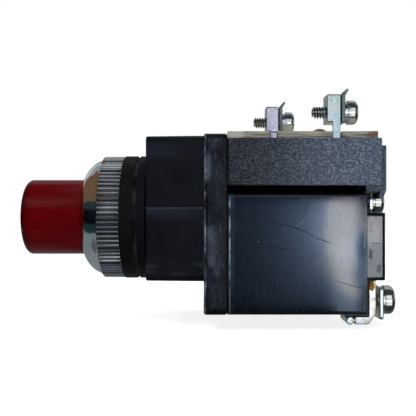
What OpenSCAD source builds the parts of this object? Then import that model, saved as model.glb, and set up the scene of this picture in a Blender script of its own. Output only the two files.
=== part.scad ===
// Illuminated pushbutton switch for a 30 mm panel hole, with a lamp transformer and a contact block.
// The operator axis is the X axis. The lens faces -X, and x = 0 is the face that meets the panel.
// Z is up: the contact block is on top of the transformer. The side with the rear contact terminal is -Y.

/* [Lens] */
// Outer diameter of the lens
lens_d = 23.4; // [21:0.1:24]
// How far the lens stands ahead of the panel face
lens_reach = 39.6; // [36:0.2:46]
// Wall of the lens
lens_wall = 1.9; // [1.5:0.1:2.3]
// Radius of the lens front edge
lens_edge_r = 1.6; // [0.8:0.1:2.2]
// Rise of the domed lens front
lens_dome = 0.8; // [0.4:0.1:1.5]
// Number of flutes inside the lens
lens_flutes = 40; // [24:1:48]
// Diameter of each flute
flute_d = 0.8; // [0.4:0.1:1]
// Depth of the lens spigot in the sleeve
spigot_len = 5; // [3:0.5:6]

/* [Bezel nut and panel stack] */
// Diameter over the ridges of the bezel nut
bezel_d = 38; // [36:0.5:42]
// Width of the ridged rim
rim_w = 7; // [5:0.5:9]
// Length of the dome ahead of the rim
dome_len = 5.8; // [5:0.2:8]
// Bulge of the dome over a straight cone
dome_bulge = 1.1; // [0.6:0.1:1.6]
// Number of ridges on the rim
ridges = 110; // [80:2:130]
// Depth of the ridges
ridge_depth = 0.45; // [0.2:0.05:0.7]
// Thickness of the bezel lip round the lens
lip_t = 1.3; // [1:0.1:2]
// Radial gap between the lens and the bezel lip
lip_gap = 0.5; // [0.3:0.1:0.8]
// Thread diameter of the panel neck
neck_d = 30; // [29:0.5:31]
// Thickness of the rubber panel gasket
gasket_t = 4.1; // [2:0.1:6]
// Thickness of the spacer ring
spacer_t = 3.7; // [1:0.1:6]

/* [Operator body] */
// Length of the operator body behind the panel
body_len = 16.6; // [16:0.2:24]
// Width of the operator body
body_w = 42; // [41:0.5:44]
// Height of the operator body
body_h = 42; // [41:0.5:44]
// How far the body centre lies above the operator axis
body_rise = 2.7; // [2:0.1:3.2]
// Front wall of the operator body
body_front_t = 5.5; // [4:0.5:6]
// Side walls of the operator body
body_wall = 4; // [3.2:0.1:4.4]
// Mould draft of the operator body, in degrees
draft = 1; // [0.5:0.25:1.5]
// Step at the mould parting line on the sides
parting_step = 0.3; // [0.1:0.05:0.5]

/* [Button] */
// Travel of the button
travel = 5; // [3:0.5:5.5]
// Radial clearance of the sleeve in the neck
slide_gap = 0.15; // [0.05:0.05:0.3]
// Wall of the sleeve
sleeve_wall = 1.8; // [1.4:0.1:2.4]
// Wire of the return spring
return_wire = 0.9; // [0.6:0.1:1]
// Diameter of the push rod
push_rod_d = 4; // [3:0.5:4.5]

/* [Lamp] */
// Diameter of the lamp glass
lamp_d = 10; // [8:0.5:11]
// Diameter of the lamp cap
lamp_cap_d = 9; // [8:0.5:9.5]
// Length of the lamp, glass and cap
lamp_len = 28; // [26:0.5:30]
// Outer diameter of the lamp holder
holder_d = 14; // [13:0.5:15]

/* [Adapter plate] */
// Thickness of the adapter plate
plate_t = 6.7; // [5.5:0.1:8]
// Width of the adapter plate
plate_w = 44.6; // [43.5:0.1:47]
// How far the adapter plate stands above the operator body
plate_lip = 0.4; // [0.1:0.1:2]
// How far the adapter plate reaches below the transformer case
plate_skirt = 0; // [0:0.1:1.5]
// Corner radius of the adapter plate
plate_r = 2; // [1:0.25:3]

/* [Transformer] */
// Length of the transformer case
case_len = 39.9; // [39:0.1:48]
// Width of the transformer case
case_w = 42.6; // [41:0.1:43.4]
// Height of the transformer case
case_h = 34.9; // [34:0.1:36]
// Wall of the transformer case
case_wall = 2; // [1.6:0.1:2.4]
// Thickness of the rear cover inside the case
cover_t = 2.2; // [1.6:0.1:3]
// How far the barrier stands behind the case
barrier_len = 6; // [4:0.1:7]
// Height left for the upper supply terminal, above the barrier
barrier_drop = 5.7; // [5.4:0.1:7]
// Height left for the lower supply terminal, below the barrier
barrier_rise = 9.5; // [9.3:0.1:10]
// Space between the core and the case above and below it
core_clear = 1.7; // [1:0.1:3]
// Distance of the core from the sides of the case
core_side = 14.3; // [13:0.1:16]

/* [Supply terminals] */
// Distance of the supply screws from the case top and bottom
supply_inset = 2.3; // [2.2:0.05:2.6]
// Distance of the supply screws from the middle plane
supply_y = 6; // [5.5:0.1:7]
// Thickness of the terminal bars
bar_t = 2.4; // [1.6:0.1:3]
// Width of the terminal bars
bar_w = 9; // [7:0.5:10]
// Length of the seats under the terminal bars
seat_len = 3; // [2.4:0.1:4]
// Depth of the foot under the lower terminal bar
foot_h = 2.2; // [1:0.1:3]
// Thread diameter of the supply screws
supply_thread_d = 4; // [3.5:0.5:4]
// Head diameter of the supply screws
supply_head_d = 8.8; // [7:0.1:9.2]
// Head height of the supply screws
supply_head_h = 3; // [2.4:0.1:4]
// Width of the square washers
supply_washer_w = 9; // [7:0.1:10]
// How far the square washers reach below their screws
washer_reach = 5.5; // [4:0.1:6]

/* [Contact block] */
// Length of the contact block
block_len = 44.2; // [44:0.1:52]
// Width of the contact block
block_w = 42; // [40:0.1:44]
// Height of the contact housing
block_h = 13.6; // [13:0.1:14]
// Gap between the transformer case and the contact block
block_gap = 2.1; // [1.5:0.1:2.2]
// Wall of the contact housing
block_wall = 2; // [1.6:0.1:2.4]
// Thickness of the fibre cover
fibre_t = 2.4; // [1.5:0.1:3.5]
// Thickness of the rear rib
rib_t = 1.9; // [1:0.1:3]
// How far the hooks hang below the contact block
hook_drop = 3.8; // [2:0.1:5]
// Length of the hooks under the contact block
hook_len = 4.1; // [2:0.1:6]
// How far the deck under the contact block lies in from the sides of the case
deck_inset = 3; // [1:0.1:6]

/* [Contact terminals] */
// Distance of the front terminal behind the adapter plate
front_post_x = 15.8; // [14:0.1:18]
// Distance of the rear terminal behind the front one
post_pitch = 15.8; // [15:0.1:18]
// Distance of the terminal screws from the middle plane
post_y = 11.6; // [11.2:0.1:12.2]
// Length of a terminal post along the screw
post_len = 3.9; // [3:0.1:5]
// Width of a terminal post
post_w = 6.8; // [6:0.1:8]
// Height of a terminal post
post_h = 8.4; // [7.5:0.1:10]
// Gap between the fibre cover and the posts
post_gap = 2.7; // [1:0.1:4]
// Thickness of the terminal strip
strip_t = 1.4; // [0.8:0.1:1.8]
// Thread diameter of the terminal screws
screw_d = 3.5; // [3:0.5:4]
// Head diameter of the terminal screws
screw_head_d = 7.2; // [6:0.1:7.6]
// Head height of the terminal screws
screw_head_h = 2.9; // [2:0.1:3.2]
// Length of the terminal screws under the head
screw_len = 10.4; // [8:0.1:13]
// Thickness of the clamp plates
clamp_t = 1.2; // [0.6:0.1:1.6]

/* [Hidden] */
$fn = 64;

// Shared clearances and small sizes
seat_gap = 0.3;        // between a moving piece and its stop
thread_gap = 0.1;      // between a thread and its nut
fit_gap = 0.15;        // between pieces that drop into each other
bore_gap = 0.5;        // round a rod that passes through a wall
pin_gap = 0.05;        // round a pin pressed into its hole
cut = 0.5;             // how far a cutting shape runs past the face it cuts

// Stations along the operator axis, from the front
lens_r = lens_d / 2;
bezel_r = bezel_d / 2;
neck_r = neck_d / 2;
gasket_r = bezel_r + 0.2;
gasket_x = -spacer_t - gasket_t;
rim_x = gasket_x - rim_w;
lip_x = rim_x - dome_len;
neck_gap = 1.7;
neck_x = lip_x + lip_t + neck_gap;
plate_x = body_len;
plate_x1 = plate_x + plate_t;
case_x1 = plate_x1 + case_len;
block_x1 = plate_x1 + block_len;

// Levels
body_z = body_rise - body_h / 2;
parting_z = body_rise + 0.4;
body_z1 = body_z + body_h;
push_clear = 1.6;
push_z = body_z1 - body_wall - push_rod_d / 2 - push_clear;
block_z = push_z - block_h / 2;
block_z1 = block_z + block_h;
fibre_z1 = block_z1 + fibre_t;
case_z1 = block_z - block_gap;
case_z = case_z1 - case_h;
plate_z = case_z - plate_skirt;
plate_h = body_z1 + plate_lip - plate_z;

// Button
bore_r = neck_r - 2.5;
sleeve_r = bore_r - slide_gap;
sleeve_in_r = sleeve_r - sleeve_wall;
spigot_r = sleeve_in_r - thread_gap;
flange_x = body_front_t + seat_gap;
flange_t = 2;
flange_x1 = flange_x + flange_t;
flange_r = sleeve_r + 1.4;
flange_gap = 0.4;
sleeve_rear_r = holder_d / 2 + 1.2;
tongue_side = 4;
tongue_w = push_rod_d + 2 * tongue_side;
tongue_top = push_z + push_rod_d / 2 + 0.6;
push_rod_x1 = plate_x1 - travel / 2;
push_pin_d = 2.4;
seal_d = 1.7;
return_r = sleeve_r - return_wire;
return_turns = 3.2;

// Lamp
lamp_tip_x = lens_x() + lens_wall + travel + 2;
lamp_x1 = lamp_tip_x + lamp_len;
cap_len = 13;
cap_x = lamp_x1 - cap_len;
bayonet_x = cap_x + 5;
socket_wall = 0.6;
socket_gap = 0.2;
socket_x = cap_x + 1.5;
socket_x1 = lamp_x1 + 3;
holder_x = socket_x + 4;
contact_x1 = socket_x1 + fit_gap;
contact_d = 5;
holder_flange_d = holder_d + 4;
holder_flange_t = 1.6;

// Screws that hold the unit together
assembly_d = 3;
assembly_inset = 6.3;
assembly_y = case_w / 2 - assembly_inset;
assembly_rise = 6.2;
assembly_z = case_z + barrier_rise + assembly_rise;
assembly_head_d = 5.5;
assembly_head_h = 2.4;
assembly_boss_d = 6;
assembly_depth = 9;
block_screw_y = (block_w / 2 + post_y + post_w / 2 + cavity_gap()) / 2;
block_screw_len = 13;

// Transformer
case_in_w = case_w - 2 * case_wall;
case_in_h = case_h - 2 * case_wall;
cover_x = case_x1 - cover_t;
barrier_x1 = case_x1 + barrier_len;
barrier_z = case_z + barrier_rise;
barrier_z1 = case_z1 - barrier_drop;
barrier_h = barrier_z1 - barrier_z;
barrier_w = case_w - 5.4;
barrier_edge_r = 1.1;
core_end_gap = 0.5;
core_front_gap = 2.2;
core_leg = min((case_in_h - 2 * core_clear) / 5,
    (case_len - case_wall - cover_t - core_end_gap - core_front_gap) / 6);
core_stack = case_w - 2 * core_side;
core_len = 6 * core_leg;
core_h = 5 * core_leg;
core_cx = cover_x - core_end_gap - core_len / 2;
core_cz = case_z + case_h / 2;
bobbin_t = 0.8;
winding_space = core_leg - 2 * bobbin_t;
primary_t = winding_space * 0.55;
secondary_t = winding_space - primary_t - 0.3;
bobbin_h = 3 * core_leg - 2 * fit_gap;
lead_d = 0.9;
lamp_lead_y = [-1.6, socket_d() / 2 - socket_wall / 2];
coil_r = core_stack / 2 + bobbin_t + primary_t + 0.1 + secondary_t + lead_d / 2 + 0.05;
bobbin_edge = core_stack / 2 + core_leg + lead_d / 2 + 0.3;

// Supply terminals
seat_x1 = case_x1 + seat_len;
bar_x1 = seat_x1 + bar_t;
foot_z = case_z - foot_h;
lower_screw_z = case_z + supply_inset;
upper_screw_z = case_z1 - supply_inset;
supply_washer_t = 1.3;
supply_washer_x = max(bar_x1, barrier_x1, block_x1 + rib_t) + fit_gap;
supply_washer_top = block_z - seat_gap - upper_screw_z;
supply_lock_t = 0.8;
supply_head_x = supply_washer_x + supply_washer_t + supply_lock_t;
supply_screw_len = 7.9;
supply_lead_y = supply_y + 3;

// Contact block
cavity_half = post_y + post_w / 2 + cavity_gap();
fibre_half = cavity_half + 0.9;
front_x = plate_x1 + front_post_x;
rear_x = front_x + post_pitch;
post_z = fibre_z1 + post_gap;
screw_z = post_z + post_h * 0.4;
leg_w = 2.2;
clamp_x = post_len / 2 + 0.25;
lock_t = 1.1;
head_x = clamp_x + clamp_t + lock_t;
strip_y = post_y + post_w / 2 - strip_t;
strip_h = 5.4;
tab_w = 1.9;
tab_t = 1;

// Moving contact, measured inside the contact housing
plunger_x = plate_x1 + block_wall + seat_gap;
plunger_w = 9;
plunger_h = 7.8;
plunger_end = 7.5;
window_x = plunger_x + plunger_end;
window_len = 8;
bridge_t = 1;
bridge_h = 4;
bridge_x1 = window_x + window_len;
rivet_d = 3.2;
rivet_t = 0.7;
contact_gap = travel + 0.2;
pad_x = bridge_x1 + rivet_t + contact_gap + rivet_t;
pad_len = 4.6;
bridge_half = strip_y - 0.8;
rivet_y = bridge_half - rivet_d / 2 - 0.2;
plunger_x1 = bridge_x1 + plunger_end;
contact_spring_r = 1.5;
contact_wire = 0.5;
plunger_spring_r = 3;
plunger_wire = 0.6;

function lens_x() = -lens_reach;
function cavity_gap() = 0.6;

// Shapes that repeat

// A bar along X with a round section
module rod(d, x0, x1, y = 0, z = 0) {
    translate([x0, y, z]) rotate([0, 90, 0]) cylinder(d = d, h = x1 - x0);
}

// A box between two corners
module box(low, high) {
    translate(low) cube(high - low);
}

// A solid turned about X from a profile of [radius, x]
module turned() {
    rotate([0, 90, 0]) rotate_extrude() children();
}

// A profile of [y, z] drawn out along X
module along_x(x0, x1) {
    translate([x0, 0, 0]) rotate([90, 0, 90]) linear_extrude(x1 - x0) children();
}

// A profile of [x, z] drawn out along Y
module along_y(y0, y1) {
    translate([0, y1, 0]) rotate([90, 0, 0]) linear_extrude(y1 - y0) children();
}

// A rectangle from corner to corner with round corners
module round_rect(low, high, r) {
    translate(low + [r, 0]) square([high.x - low.x - 2 * r, high.y - low.y]);
    translate(low + [0, r]) square([high.x - low.x, high.y - low.y - 2 * r]);
    for (x = [low.x + r, high.x - r], y = [low.y + r, high.y - r]) translate([x, y]) circle(r);
}

// A box with its edges along X rounded
module bar_x(low, high, r) {
    along_x(low.x, high.x) round_rect([low.y, low.z], [high.y, high.z], r);
}

// A flat ring about X
module ring(r_in, r_out, x0, x1) {
    turned() translate([r_in, x0]) square([r_out - r_in, x1 - x0]);
}

// A tube swept through points that lie mainly along X
module swept(path, d, sides) {
    last = len(path) - 1;
    function heading(i) = path[min(i + 1, last)] - path[max(i - 1, 0)];
    function unit(v) = v / norm(v);
    function side_of(i) = unit(cross(heading(i), [0.13, 0.31, 1]));
    function up_of(i) = unit(cross(side_of(i), heading(i)));
    points = [for (i = [0:last], k = [0:sides - 1])
        path[i] + d / 2 * (cos(360 * k / sides) * side_of(i) + sin(360 * k / sides) * up_of(i))];
    function at(i, k) = i * sides + k % sides;
    walls = [for (i = [0:last - 1], k = [0:sides - 1], half = [0, 1])
        half == 0 ? [at(i, k), at(i, k + 1), at(i + 1, k + 1)] : [at(i, k), at(i + 1, k + 1), at(i + 1, k)]];
    start = [for (k = [1:sides - 2]) [at(0, 0), at(0, k + 1), at(0, k)]];
    end = [for (k = [1:sides - 2]) [at(last, 0), at(last, k), at(last, k + 1)]];
    polyhedron(points, concat(start, walls, end));
}

// A compression spring about X with closed end turns
module spring(r, wire, turns, x0, x1, y = 0, z = 0) {
    steps = 14;
    count = ceil(turns * steps);
    rise = x1 - x0 - wire;
    function share(t) = t < 1 ? 0.5 * wire / rise * t * t
        : t > turns - 1 ? 1 - 0.5 * wire / rise * pow(turns - t, 2)
        : 0.5 * wire / rise + (1 - wire / rise) * (t - 1) / (turns - 2);
    path = [for (i = [0:count]) let (t = turns * i / count)
        [x0 + wire / 2 + rise * share(t), y + r * cos(360 * t), z + r * sin(360 * t)]];
    swept(path, wire, 8);
}

// A pan head screw along X, with its head towards +X and its seat at x = 0
module pan_screw(d, head_d, head_h, length) {
    slot_w = head_d * 0.16;
    slot_l = head_d * 0.56;
    slot_depth = head_h * 0.5;
    edge = head_h * 0.45;
    difference() {
        turned() {
            square([head_d / 2, head_h - edge]);
            square([head_d / 2 - edge, head_h]);
            translate([head_d / 2 - edge, head_h - edge]) intersection() {
                circle(edge);
                square(edge);
            }
        }
        for (turn = [0, 90]) translate([head_h - slot_depth, 0, 0]) rotate([turn, 0, 0])
            translate([0, -slot_l / 2, -slot_w / 2]) cube([head_h, slot_l, slot_w]);
    }
    difference() {
        rod(d, -length, 0.01);
        turned() translate([0, -length]) polygon([[d / 2 + cut, -cut], [d / 2 + cut, d / 8],
            [d / 2 - d / 8 - cut / 2, -cut]]);
    }
}

// A split spring washer about X
module lock_washer(d_in, d_out, t) {
    gap = 0.7;
    difference() {
        ring(d_in / 2, d_out / 2, 0, t);
        box([-cut, -gap / 2, 0], [t + cut, gap / 2, d_out]);
    }
}

// The two places of the assembly screws
module at_assembly_screws() {
    for (side = [-1, 1]) translate([0, side * assembly_y, assembly_z]) children();
}

// The two places of the screws that hold the contact block
module at_block_screws() {
    for (side = [-1, 1]) translate([0, side * block_screw_y, push_z]) children();
}

// The lower supply terminal on the -Y side, then the upper one on the +Y side
module at_supply_screws() {
    translate([0, -supply_y, lower_screw_z]) children();
    translate([0, supply_y, upper_screw_z]) children();
}

// The front contact terminal on the +Y side, then the rear one on the -Y side
module at_contact_screws() {
    translate([front_x, post_y, screw_z]) children();
    translate([rear_x, -post_y, screw_z]) children();
}

// Operator

module operator_body() {
    slope = tan(draft) * body_len;
    body_r = 2.5;
    module outline(step) {
        half = body_w / 2 - step;
        intersection() {
            bar_x([0, -half, body_z], [body_len, half, body_z + body_h], body_r);
            along_y(-body_w, body_w) polygon([[0, body_z + slope], [body_len, body_z],
                [body_len, body_z + body_h], [0, body_z + body_h - slope]]);
            translate([0, 0, body_z]) linear_extrude(body_h) polygon([[0, slope - half],
                [body_len, -half], [body_len, half], [0, half - slope]]);
        }
    }
    color("#17191d") difference() {
        union() {
            intersection() {
                outline(0);
                box([-cut, -body_w, body_z], [body_len + cut, body_w, parting_z]);
            }
            intersection() {
                outline(parting_step);
                box([-cut, -body_w, parting_z], [body_len + cut, body_w, body_z + body_h]);
            }
            rod(neck_d, neck_x, cut);
        }
        difference() {
            box([body_front_t, body_wall - body_w / 2, body_z + body_wall],
                [body_len + cut, body_w / 2 - body_wall, body_z + body_h - body_wall]);
            at_assembly_screws() rod(assembly_boss_d, body_front_t - cut, body_len + cut);
        }
        rod(2 * bore_r, neck_x - cut, body_len);
        at_assembly_screws() rod(assembly_d + 2 * pin_gap, body_len - assembly_depth - 1, body_len + cut);
    }
}

module bezel_nut() {
    lip_r = lens_r + lip_gap;
    valley_r = bezel_r - ridge_depth;
    core_r = valley_r - 0.1;
    dome_r = bezel_r - 1;
    dome_rise = dome_r - lip_r;
    front_chamfer = 0.25;
    rear_chamfer = 0.15;
    // The arc that runs from the lip out to the rim, set by its bulge over the straight line
    chord = norm([dome_len, dome_rise]);
    arc_r = (chord * chord / 4 + dome_bulge * dome_bulge) / (2 * dome_bulge);
    arc_mid = [lip_r + dome_rise / 2, lip_x + dome_len / 2];
    arc_centre = arc_mid - (arc_r - dome_bulge) * [dome_len, -dome_rise] / chord;
    color("#d5d8db") difference() {
        union() {
            turned() intersection() {
                translate([0, lip_x]) square([dome_r, dome_len + rim_w / 2]);
                union() {
                    translate([0, rim_x]) square([dome_r, rim_w]);
                    translate(arc_centre) circle(arc_r, $fn = 128);
                }
            }
            turned() polygon([[0, rim_x], [dome_r + 0.15, rim_x], [core_r, rim_x + front_chamfer + 0.2],
                [core_r, gasket_x], [0, gasket_x]]);
            along_x(rim_x + front_chamfer, gasket_x - rear_chamfer) polygon([for (i = [0:2 * ridges - 1])
                (i % 2 == 0 ? bezel_r : valley_r) * [cos(180 * i / ridges), sin(180 * i / ridges)]]);
        }
        rod(2 * lip_r, lip_x - cut, gasket_x);
        rod(2 * sleeve_r + 2 * bore_gap, neck_x - neck_gap, gasket_x);
        rod(neck_d + 2 * thread_gap, neck_x - seat_gap, gasket_x + cut);
    }
}

module panel_gasket() {
    bead = 0.5;
    color("#101113") turned() difference() {
        translate([neck_r + seat_gap, gasket_x]) square([gasket_r - neck_r - seat_gap, gasket_t]);
        translate([gasket_r, gasket_x + gasket_t]) circle(bead, $fn = 32);
    }
}

module spacer_ring() {
    edge = 0.6;
    color("#191a1c") turned() polygon([[neck_r + seat_gap, -spacer_t], [gasket_r - edge, -spacer_t],
        [gasket_r, edge - spacer_t], [gasket_r, -edge], [gasket_r - edge, 0], [neck_r + seat_gap, 0]]);
}

module lens() {
    front = lens_x();
    shoulder = neck_x;
    inner_r = min(lens_r - lens_wall, spigot_r - 1);
    flat_r = lens_r - lens_edge_r;
    dome_r = (flat_r * flat_r + lens_dome * lens_dome) / (2 * lens_dome);
    module skin() {
        translate([0, front + lens_dome + lens_edge_r])
            square([lens_r, shoulder - front - lens_dome - lens_edge_r]);
        translate([0, front + lens_dome]) square([flat_r, lens_edge_r + 1]);
        translate([flat_r, front + lens_dome + lens_edge_r]) intersection() {
            circle(lens_edge_r);
            translate([0, -lens_edge_r]) square(lens_edge_r);
        }
        intersection() {
            translate([0, front + dome_r]) circle(dome_r, $fn = 256);
            translate([0, front]) square([flat_r, lens_dome]);
        }
        translate([0, shoulder - 0.01]) square([spigot_r, spigot_len]);
    }
    color("#8c0a12") difference() {
        turned() skin();
        rod(2 * inner_r, front + lens_wall + lens_dome, shoulder + spigot_len + cut);
        for (i = [0:lens_flutes - 1]) rotate([360 * i / lens_flutes, 0, 0])
            rod(flute_d, front + lens_wall + lens_dome + 1, shoulder - 1, z = inner_r);
    }
}

module button_sleeve() {
    color("#26282c") difference() {
        union() {
            rod(2 * sleeve_r, neck_x, flange_x + cut);
            intersection() {
                rod(2 * flange_r, flange_x, flange_x1);
                box([0, -flange_r - cut, body_z + body_wall + flange_gap],
                    [body_len, flange_r + cut, push_z]);
            }
            box([flange_x, -tongue_w / 2, 0], [flange_x1, tongue_w / 2, tongue_top]);
        }
        rod(2 * sleeve_in_r, neck_x - cut, neck_x + spigot_len + 0.5);
        rod(2 * sleeve_rear_r, neck_x, flange_x1 + cut);
        ring(sleeve_r - seal_d, sleeve_r + cut, -seal_d / 2 - 0.1, seal_d / 2 + 0.1);
        rod(push_pin_d + 2 * pin_gap, flange_x - cut, flange_x1 + cut, z = push_z);
    }
}

module sleeve_seal() {
    color("#0c0c0d") turned() translate([sleeve_r - seal_d / 2 + pin_gap, 0]) circle(d = seal_d, $fn = 32);
}

module push_rod() {
    nose = 0.6;
    color("#b9b7ad") {
        rod(push_pin_d, flange_x, flange_x1 + 0.01, z = push_z);
        translate([0, 0, push_z]) turned() polygon([[0, flange_x1], [push_rod_d / 2, flange_x1],
            [push_rod_d / 2, push_rod_x1 - nose], [push_rod_d / 2 - nose, push_rod_x1], [0, push_rod_x1]]);
    }
}

module return_spring() {
    color("#9fa3a6") spring(return_r, return_wire, return_turns, flange_x1 + 0.05, plate_x - 0.05);
}

// Lamp

module lamp_holder() {
    color("#2b2118") difference() {
        union() {
            rod(holder_d, holder_x, plate_x);
            rod(holder_flange_d, plate_x - holder_flange_t, plate_x);
        }
        rod(socket_d() + 2 * fit_gap, holder_x - cut, contact_x1);
        for (y = lamp_lead_y) rod(lead_d + 2 * fit_gap, holder_x, plate_x + cut, y = y);
    }
}

function socket_d() = lamp_cap_d + 2 * (socket_gap + socket_wall);

module lamp_socket() {
    slot_w = 2.6;
    color("#b98f45") difference() {
        rod(socket_d(), socket_x, socket_x1);
        rod(lamp_cap_d + 2 * socket_gap, socket_x - cut, socket_x1 + cut);
        for (side = [0, 180]) rotate([side, 0, 0])
            box([socket_x - cut, -slot_w / 2, 0], [bayonet_x + slot_w / 2, slot_w / 2, socket_d()]);
    }
}

module lamp_contact() {
    color("#c2a15a") turned() polygon([[0, lamp_x1 + 0.05], [1.5, lamp_x1 + 0.05], [1.5, contact_x1 - 1.2],
        [contact_d / 2, contact_x1 - 1.2], [contact_d / 2, contact_x1], [0, contact_x1]]);
}

module lamp_cap() {
    pin_d = 2;
    color("#c9ab64") {
        rod(lamp_cap_d, cap_x, lamp_x1 - 1.2);
        turned() polygon([[0, lamp_x1 - 1.21], [lamp_cap_d / 2 - 1, lamp_x1 - 1.21],
            [1.5, lamp_x1], [0, lamp_x1]]);
        for (side = [0, 180]) rotate([side, 0, 0]) translate([bayonet_x, 0, 0])
            cylinder(d = pin_d, h = lamp_cap_d / 2 + socket_gap + socket_wall);
    }
}

module lamp_glass() {
    glass_r = lamp_d / 2;
    color("#e9eef0") turned() {
        translate([0, lamp_tip_x + glass_r]) intersection() {
            circle(glass_r);
            translate([0, -glass_r]) square([glass_r, glass_r]);
        }
        translate([0, lamp_tip_x + glass_r]) square([glass_r, cap_x - lamp_tip_x - glass_r - 1]);
        polygon([[0, cap_x - 1], [glass_r, cap_x - 1], [lamp_cap_d / 2 - 0.4, cap_x], [0, cap_x]]);
    }
}

// Adapter plate

module adapter_plate() {
    edge = 0.8;
    half = plate_w / 2;
    color("#1b1d21") difference() {
        intersection() {
            bar_x([plate_x, -half, plate_z], [plate_x1, half, plate_z + plate_h], plate_r);
            along_y(-half, half) round_rect([plate_x, plate_z], [plate_x1, plate_z + plate_h], edge);
            translate([0, 0, plate_z]) linear_extrude(plate_h) polygon([[plate_x, edge - half],
                [plate_x + edge, -half], [plate_x1, -half], [plate_x1, half],
                [plate_x + edge, half], [plate_x, half - edge]]);
        }
        for (y = lamp_lead_y) rod(lead_d + 2 * bore_gap, plate_x - cut, plate_x1 + cut, y = y);
        rod(push_rod_d + 2 * bore_gap, plate_x - cut, plate_x1 + cut, z = push_z);
        at_assembly_screws() rod(assembly_d + 2 * fit_gap, plate_x - cut, plate_x1 + cut);
        at_block_screws() {
            rod(assembly_d + 2 * fit_gap, plate_x - cut, plate_x1 + cut);
            rod(assembly_head_d + 2 * fit_gap, plate_x - cut, plate_x + assembly_head_h + fit_gap);
        }
    }
}

module assembly_screws() {
    seat = barrier_x1 - assembly_head_h - 0.6;
    color("#8d9296") at_assembly_screws() translate([seat, 0, 0])
        pan_screw(assembly_d, assembly_head_d, assembly_head_h, seat - body_len + assembly_depth);
}

module block_screws() {
    seat = plate_x + assembly_head_h + fit_gap;
    color("#8d9296") at_block_screws() translate([seat, 0, 0]) mirror([1, 0, 0])
        pan_screw(assembly_d, assembly_head_d, assembly_head_h, block_screw_len);
}

// Transformer

module transformer_case() {
    edge_r = 1.2;
    half = case_w / 2;
    foot_len = 4.2;
    deck_x1 = min(case_x1, block_x1 - hook_len - seat_gap);
    color("#14161a") difference() {
        union() {
            bar_x([plate_x1, -half, case_z], [case_x1, half, case_z1], edge_r);
            box([case_x1 - foot_len, -supply_y - bar_w / 2 - 0.5, foot_z],
                [case_x1, bar_w / 2 + 0.5 - supply_y, case_z + edge_r]);
            box([plate_x1, deck_inset - half, case_z1 - edge_r],
                [deck_x1, half - deck_inset, block_z - fit_gap]);
        }
        box([plate_x1 + case_wall, case_wall - half, case_z + case_wall],
            [case_x1 + cut, half - case_wall, case_z1 - case_wall]);
        for (y = lamp_lead_y) rod(lead_d + 2 * bore_gap, plate_x1 - cut, plate_x1 + case_wall + cut, y = y);
        at_assembly_screws() rod(assembly_d + 2 * fit_gap, plate_x1 - cut, plate_x1 + case_wall + cut);
    }
}

module rear_cover() {
    half = case_in_w / 2 - fit_gap;
    module seat(side, z0, z1) {
        box([case_x1, side * supply_y - bar_w / 2 - 0.5, z0],
            [seat_x1, side * supply_y + bar_w / 2 + 0.5, z1]);
    }
    color("#1a1c20") difference() {
        union() {
            box([cover_x, -half, case_z + case_wall + fit_gap],
                [case_x1 + 0.01, half, case_z1 - case_wall - fit_gap]);
            intersection() {
                bar_x([case_x1 - cut, -barrier_w / 2, barrier_z],
                    [barrier_x1, barrier_w / 2, barrier_z1], barrier_edge_r);
                translate([0, 0, barrier_z]) linear_extrude(barrier_h)
                    round_rect([case_x1 - 3, -barrier_w / 2], [barrier_x1, barrier_w / 2], barrier_edge_r);
            }
            seat(-1, foot_z, barrier_z + 0.01);
            seat(1, barrier_z1 - 0.01, case_z1);
        }
        at_assembly_screws() {
            rod(assembly_d + 2 * fit_gap, cover_x - cut, barrier_x1 + cut);
            rod(assembly_head_d + 2 * fit_gap, barrier_x1 - assembly_head_h - 0.6, barrier_x1 + cut);
        }
        at_supply_screws()
            rod(supply_thread_d + 2 * bore_gap, supply_head_x - supply_screw_len - fit_gap, seat_x1 + cut);
        at_supply_leads() rod(lead_d + 2 * fit_gap, cover_x - cut, seat_x1 + cut);
    }
}

// Where the supply leads reach the bars, next to the barrier
module at_supply_leads() {
    translate([0, -supply_lead_y, barrier_z - 2]) children();
    translate([0, supply_lead_y, barrier_z1 + 2]) children();
}

module transformer_core() {
    color("#6d7276") along_y(-core_stack / 2, core_stack / 2) difference() {
        translate([core_cx - core_len / 2, core_cz - core_h / 2]) square([core_len, core_h]);
        for (side = [-1, 1]) translate([core_cx + side * 1.5 * core_leg, core_cz])
            square([core_leg, 3 * core_leg], center = true);
    }
}

// A ring round the centre leg of the core, between two offsets from the leg
module round_leg(inner, outer, height) {
    leg_x = core_leg + inner;
    leg_y = core_stack / 2 + inner;
    wall = outer - inner;
    translate([core_cx, 0, core_cz - height / 2]) linear_extrude(height) difference() {
        round_rect([-leg_x - wall, -leg_y - wall], [leg_x + wall, leg_y + wall], 0.4 + outer / 4);
        square([2 * leg_x, 2 * leg_y], center = true);
    }
}

module coil_bobbin() {
    reach = core_leg - fit_gap;
    color("#e4dfcf") {
        round_leg(fit_gap, bobbin_t, bobbin_h);
        for (side = [-1, 1]) translate([0, 0, side * (bobbin_h - bobbin_t) / 2])
            round_leg(fit_gap, reach, bobbin_t);
    }
}

module primary_winding() {
    color("#9c4a1f") round_leg(bobbin_t + 0.05, bobbin_t + primary_t, bobbin_h - 2 * bobbin_t - 0.2);
}

module secondary_winding() {
    inner = bobbin_t + primary_t + 0.1;
    color("#b4602a") round_leg(inner, inner + secondary_t, bobbin_h - 2 * bobbin_t - 0.2);
}

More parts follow.
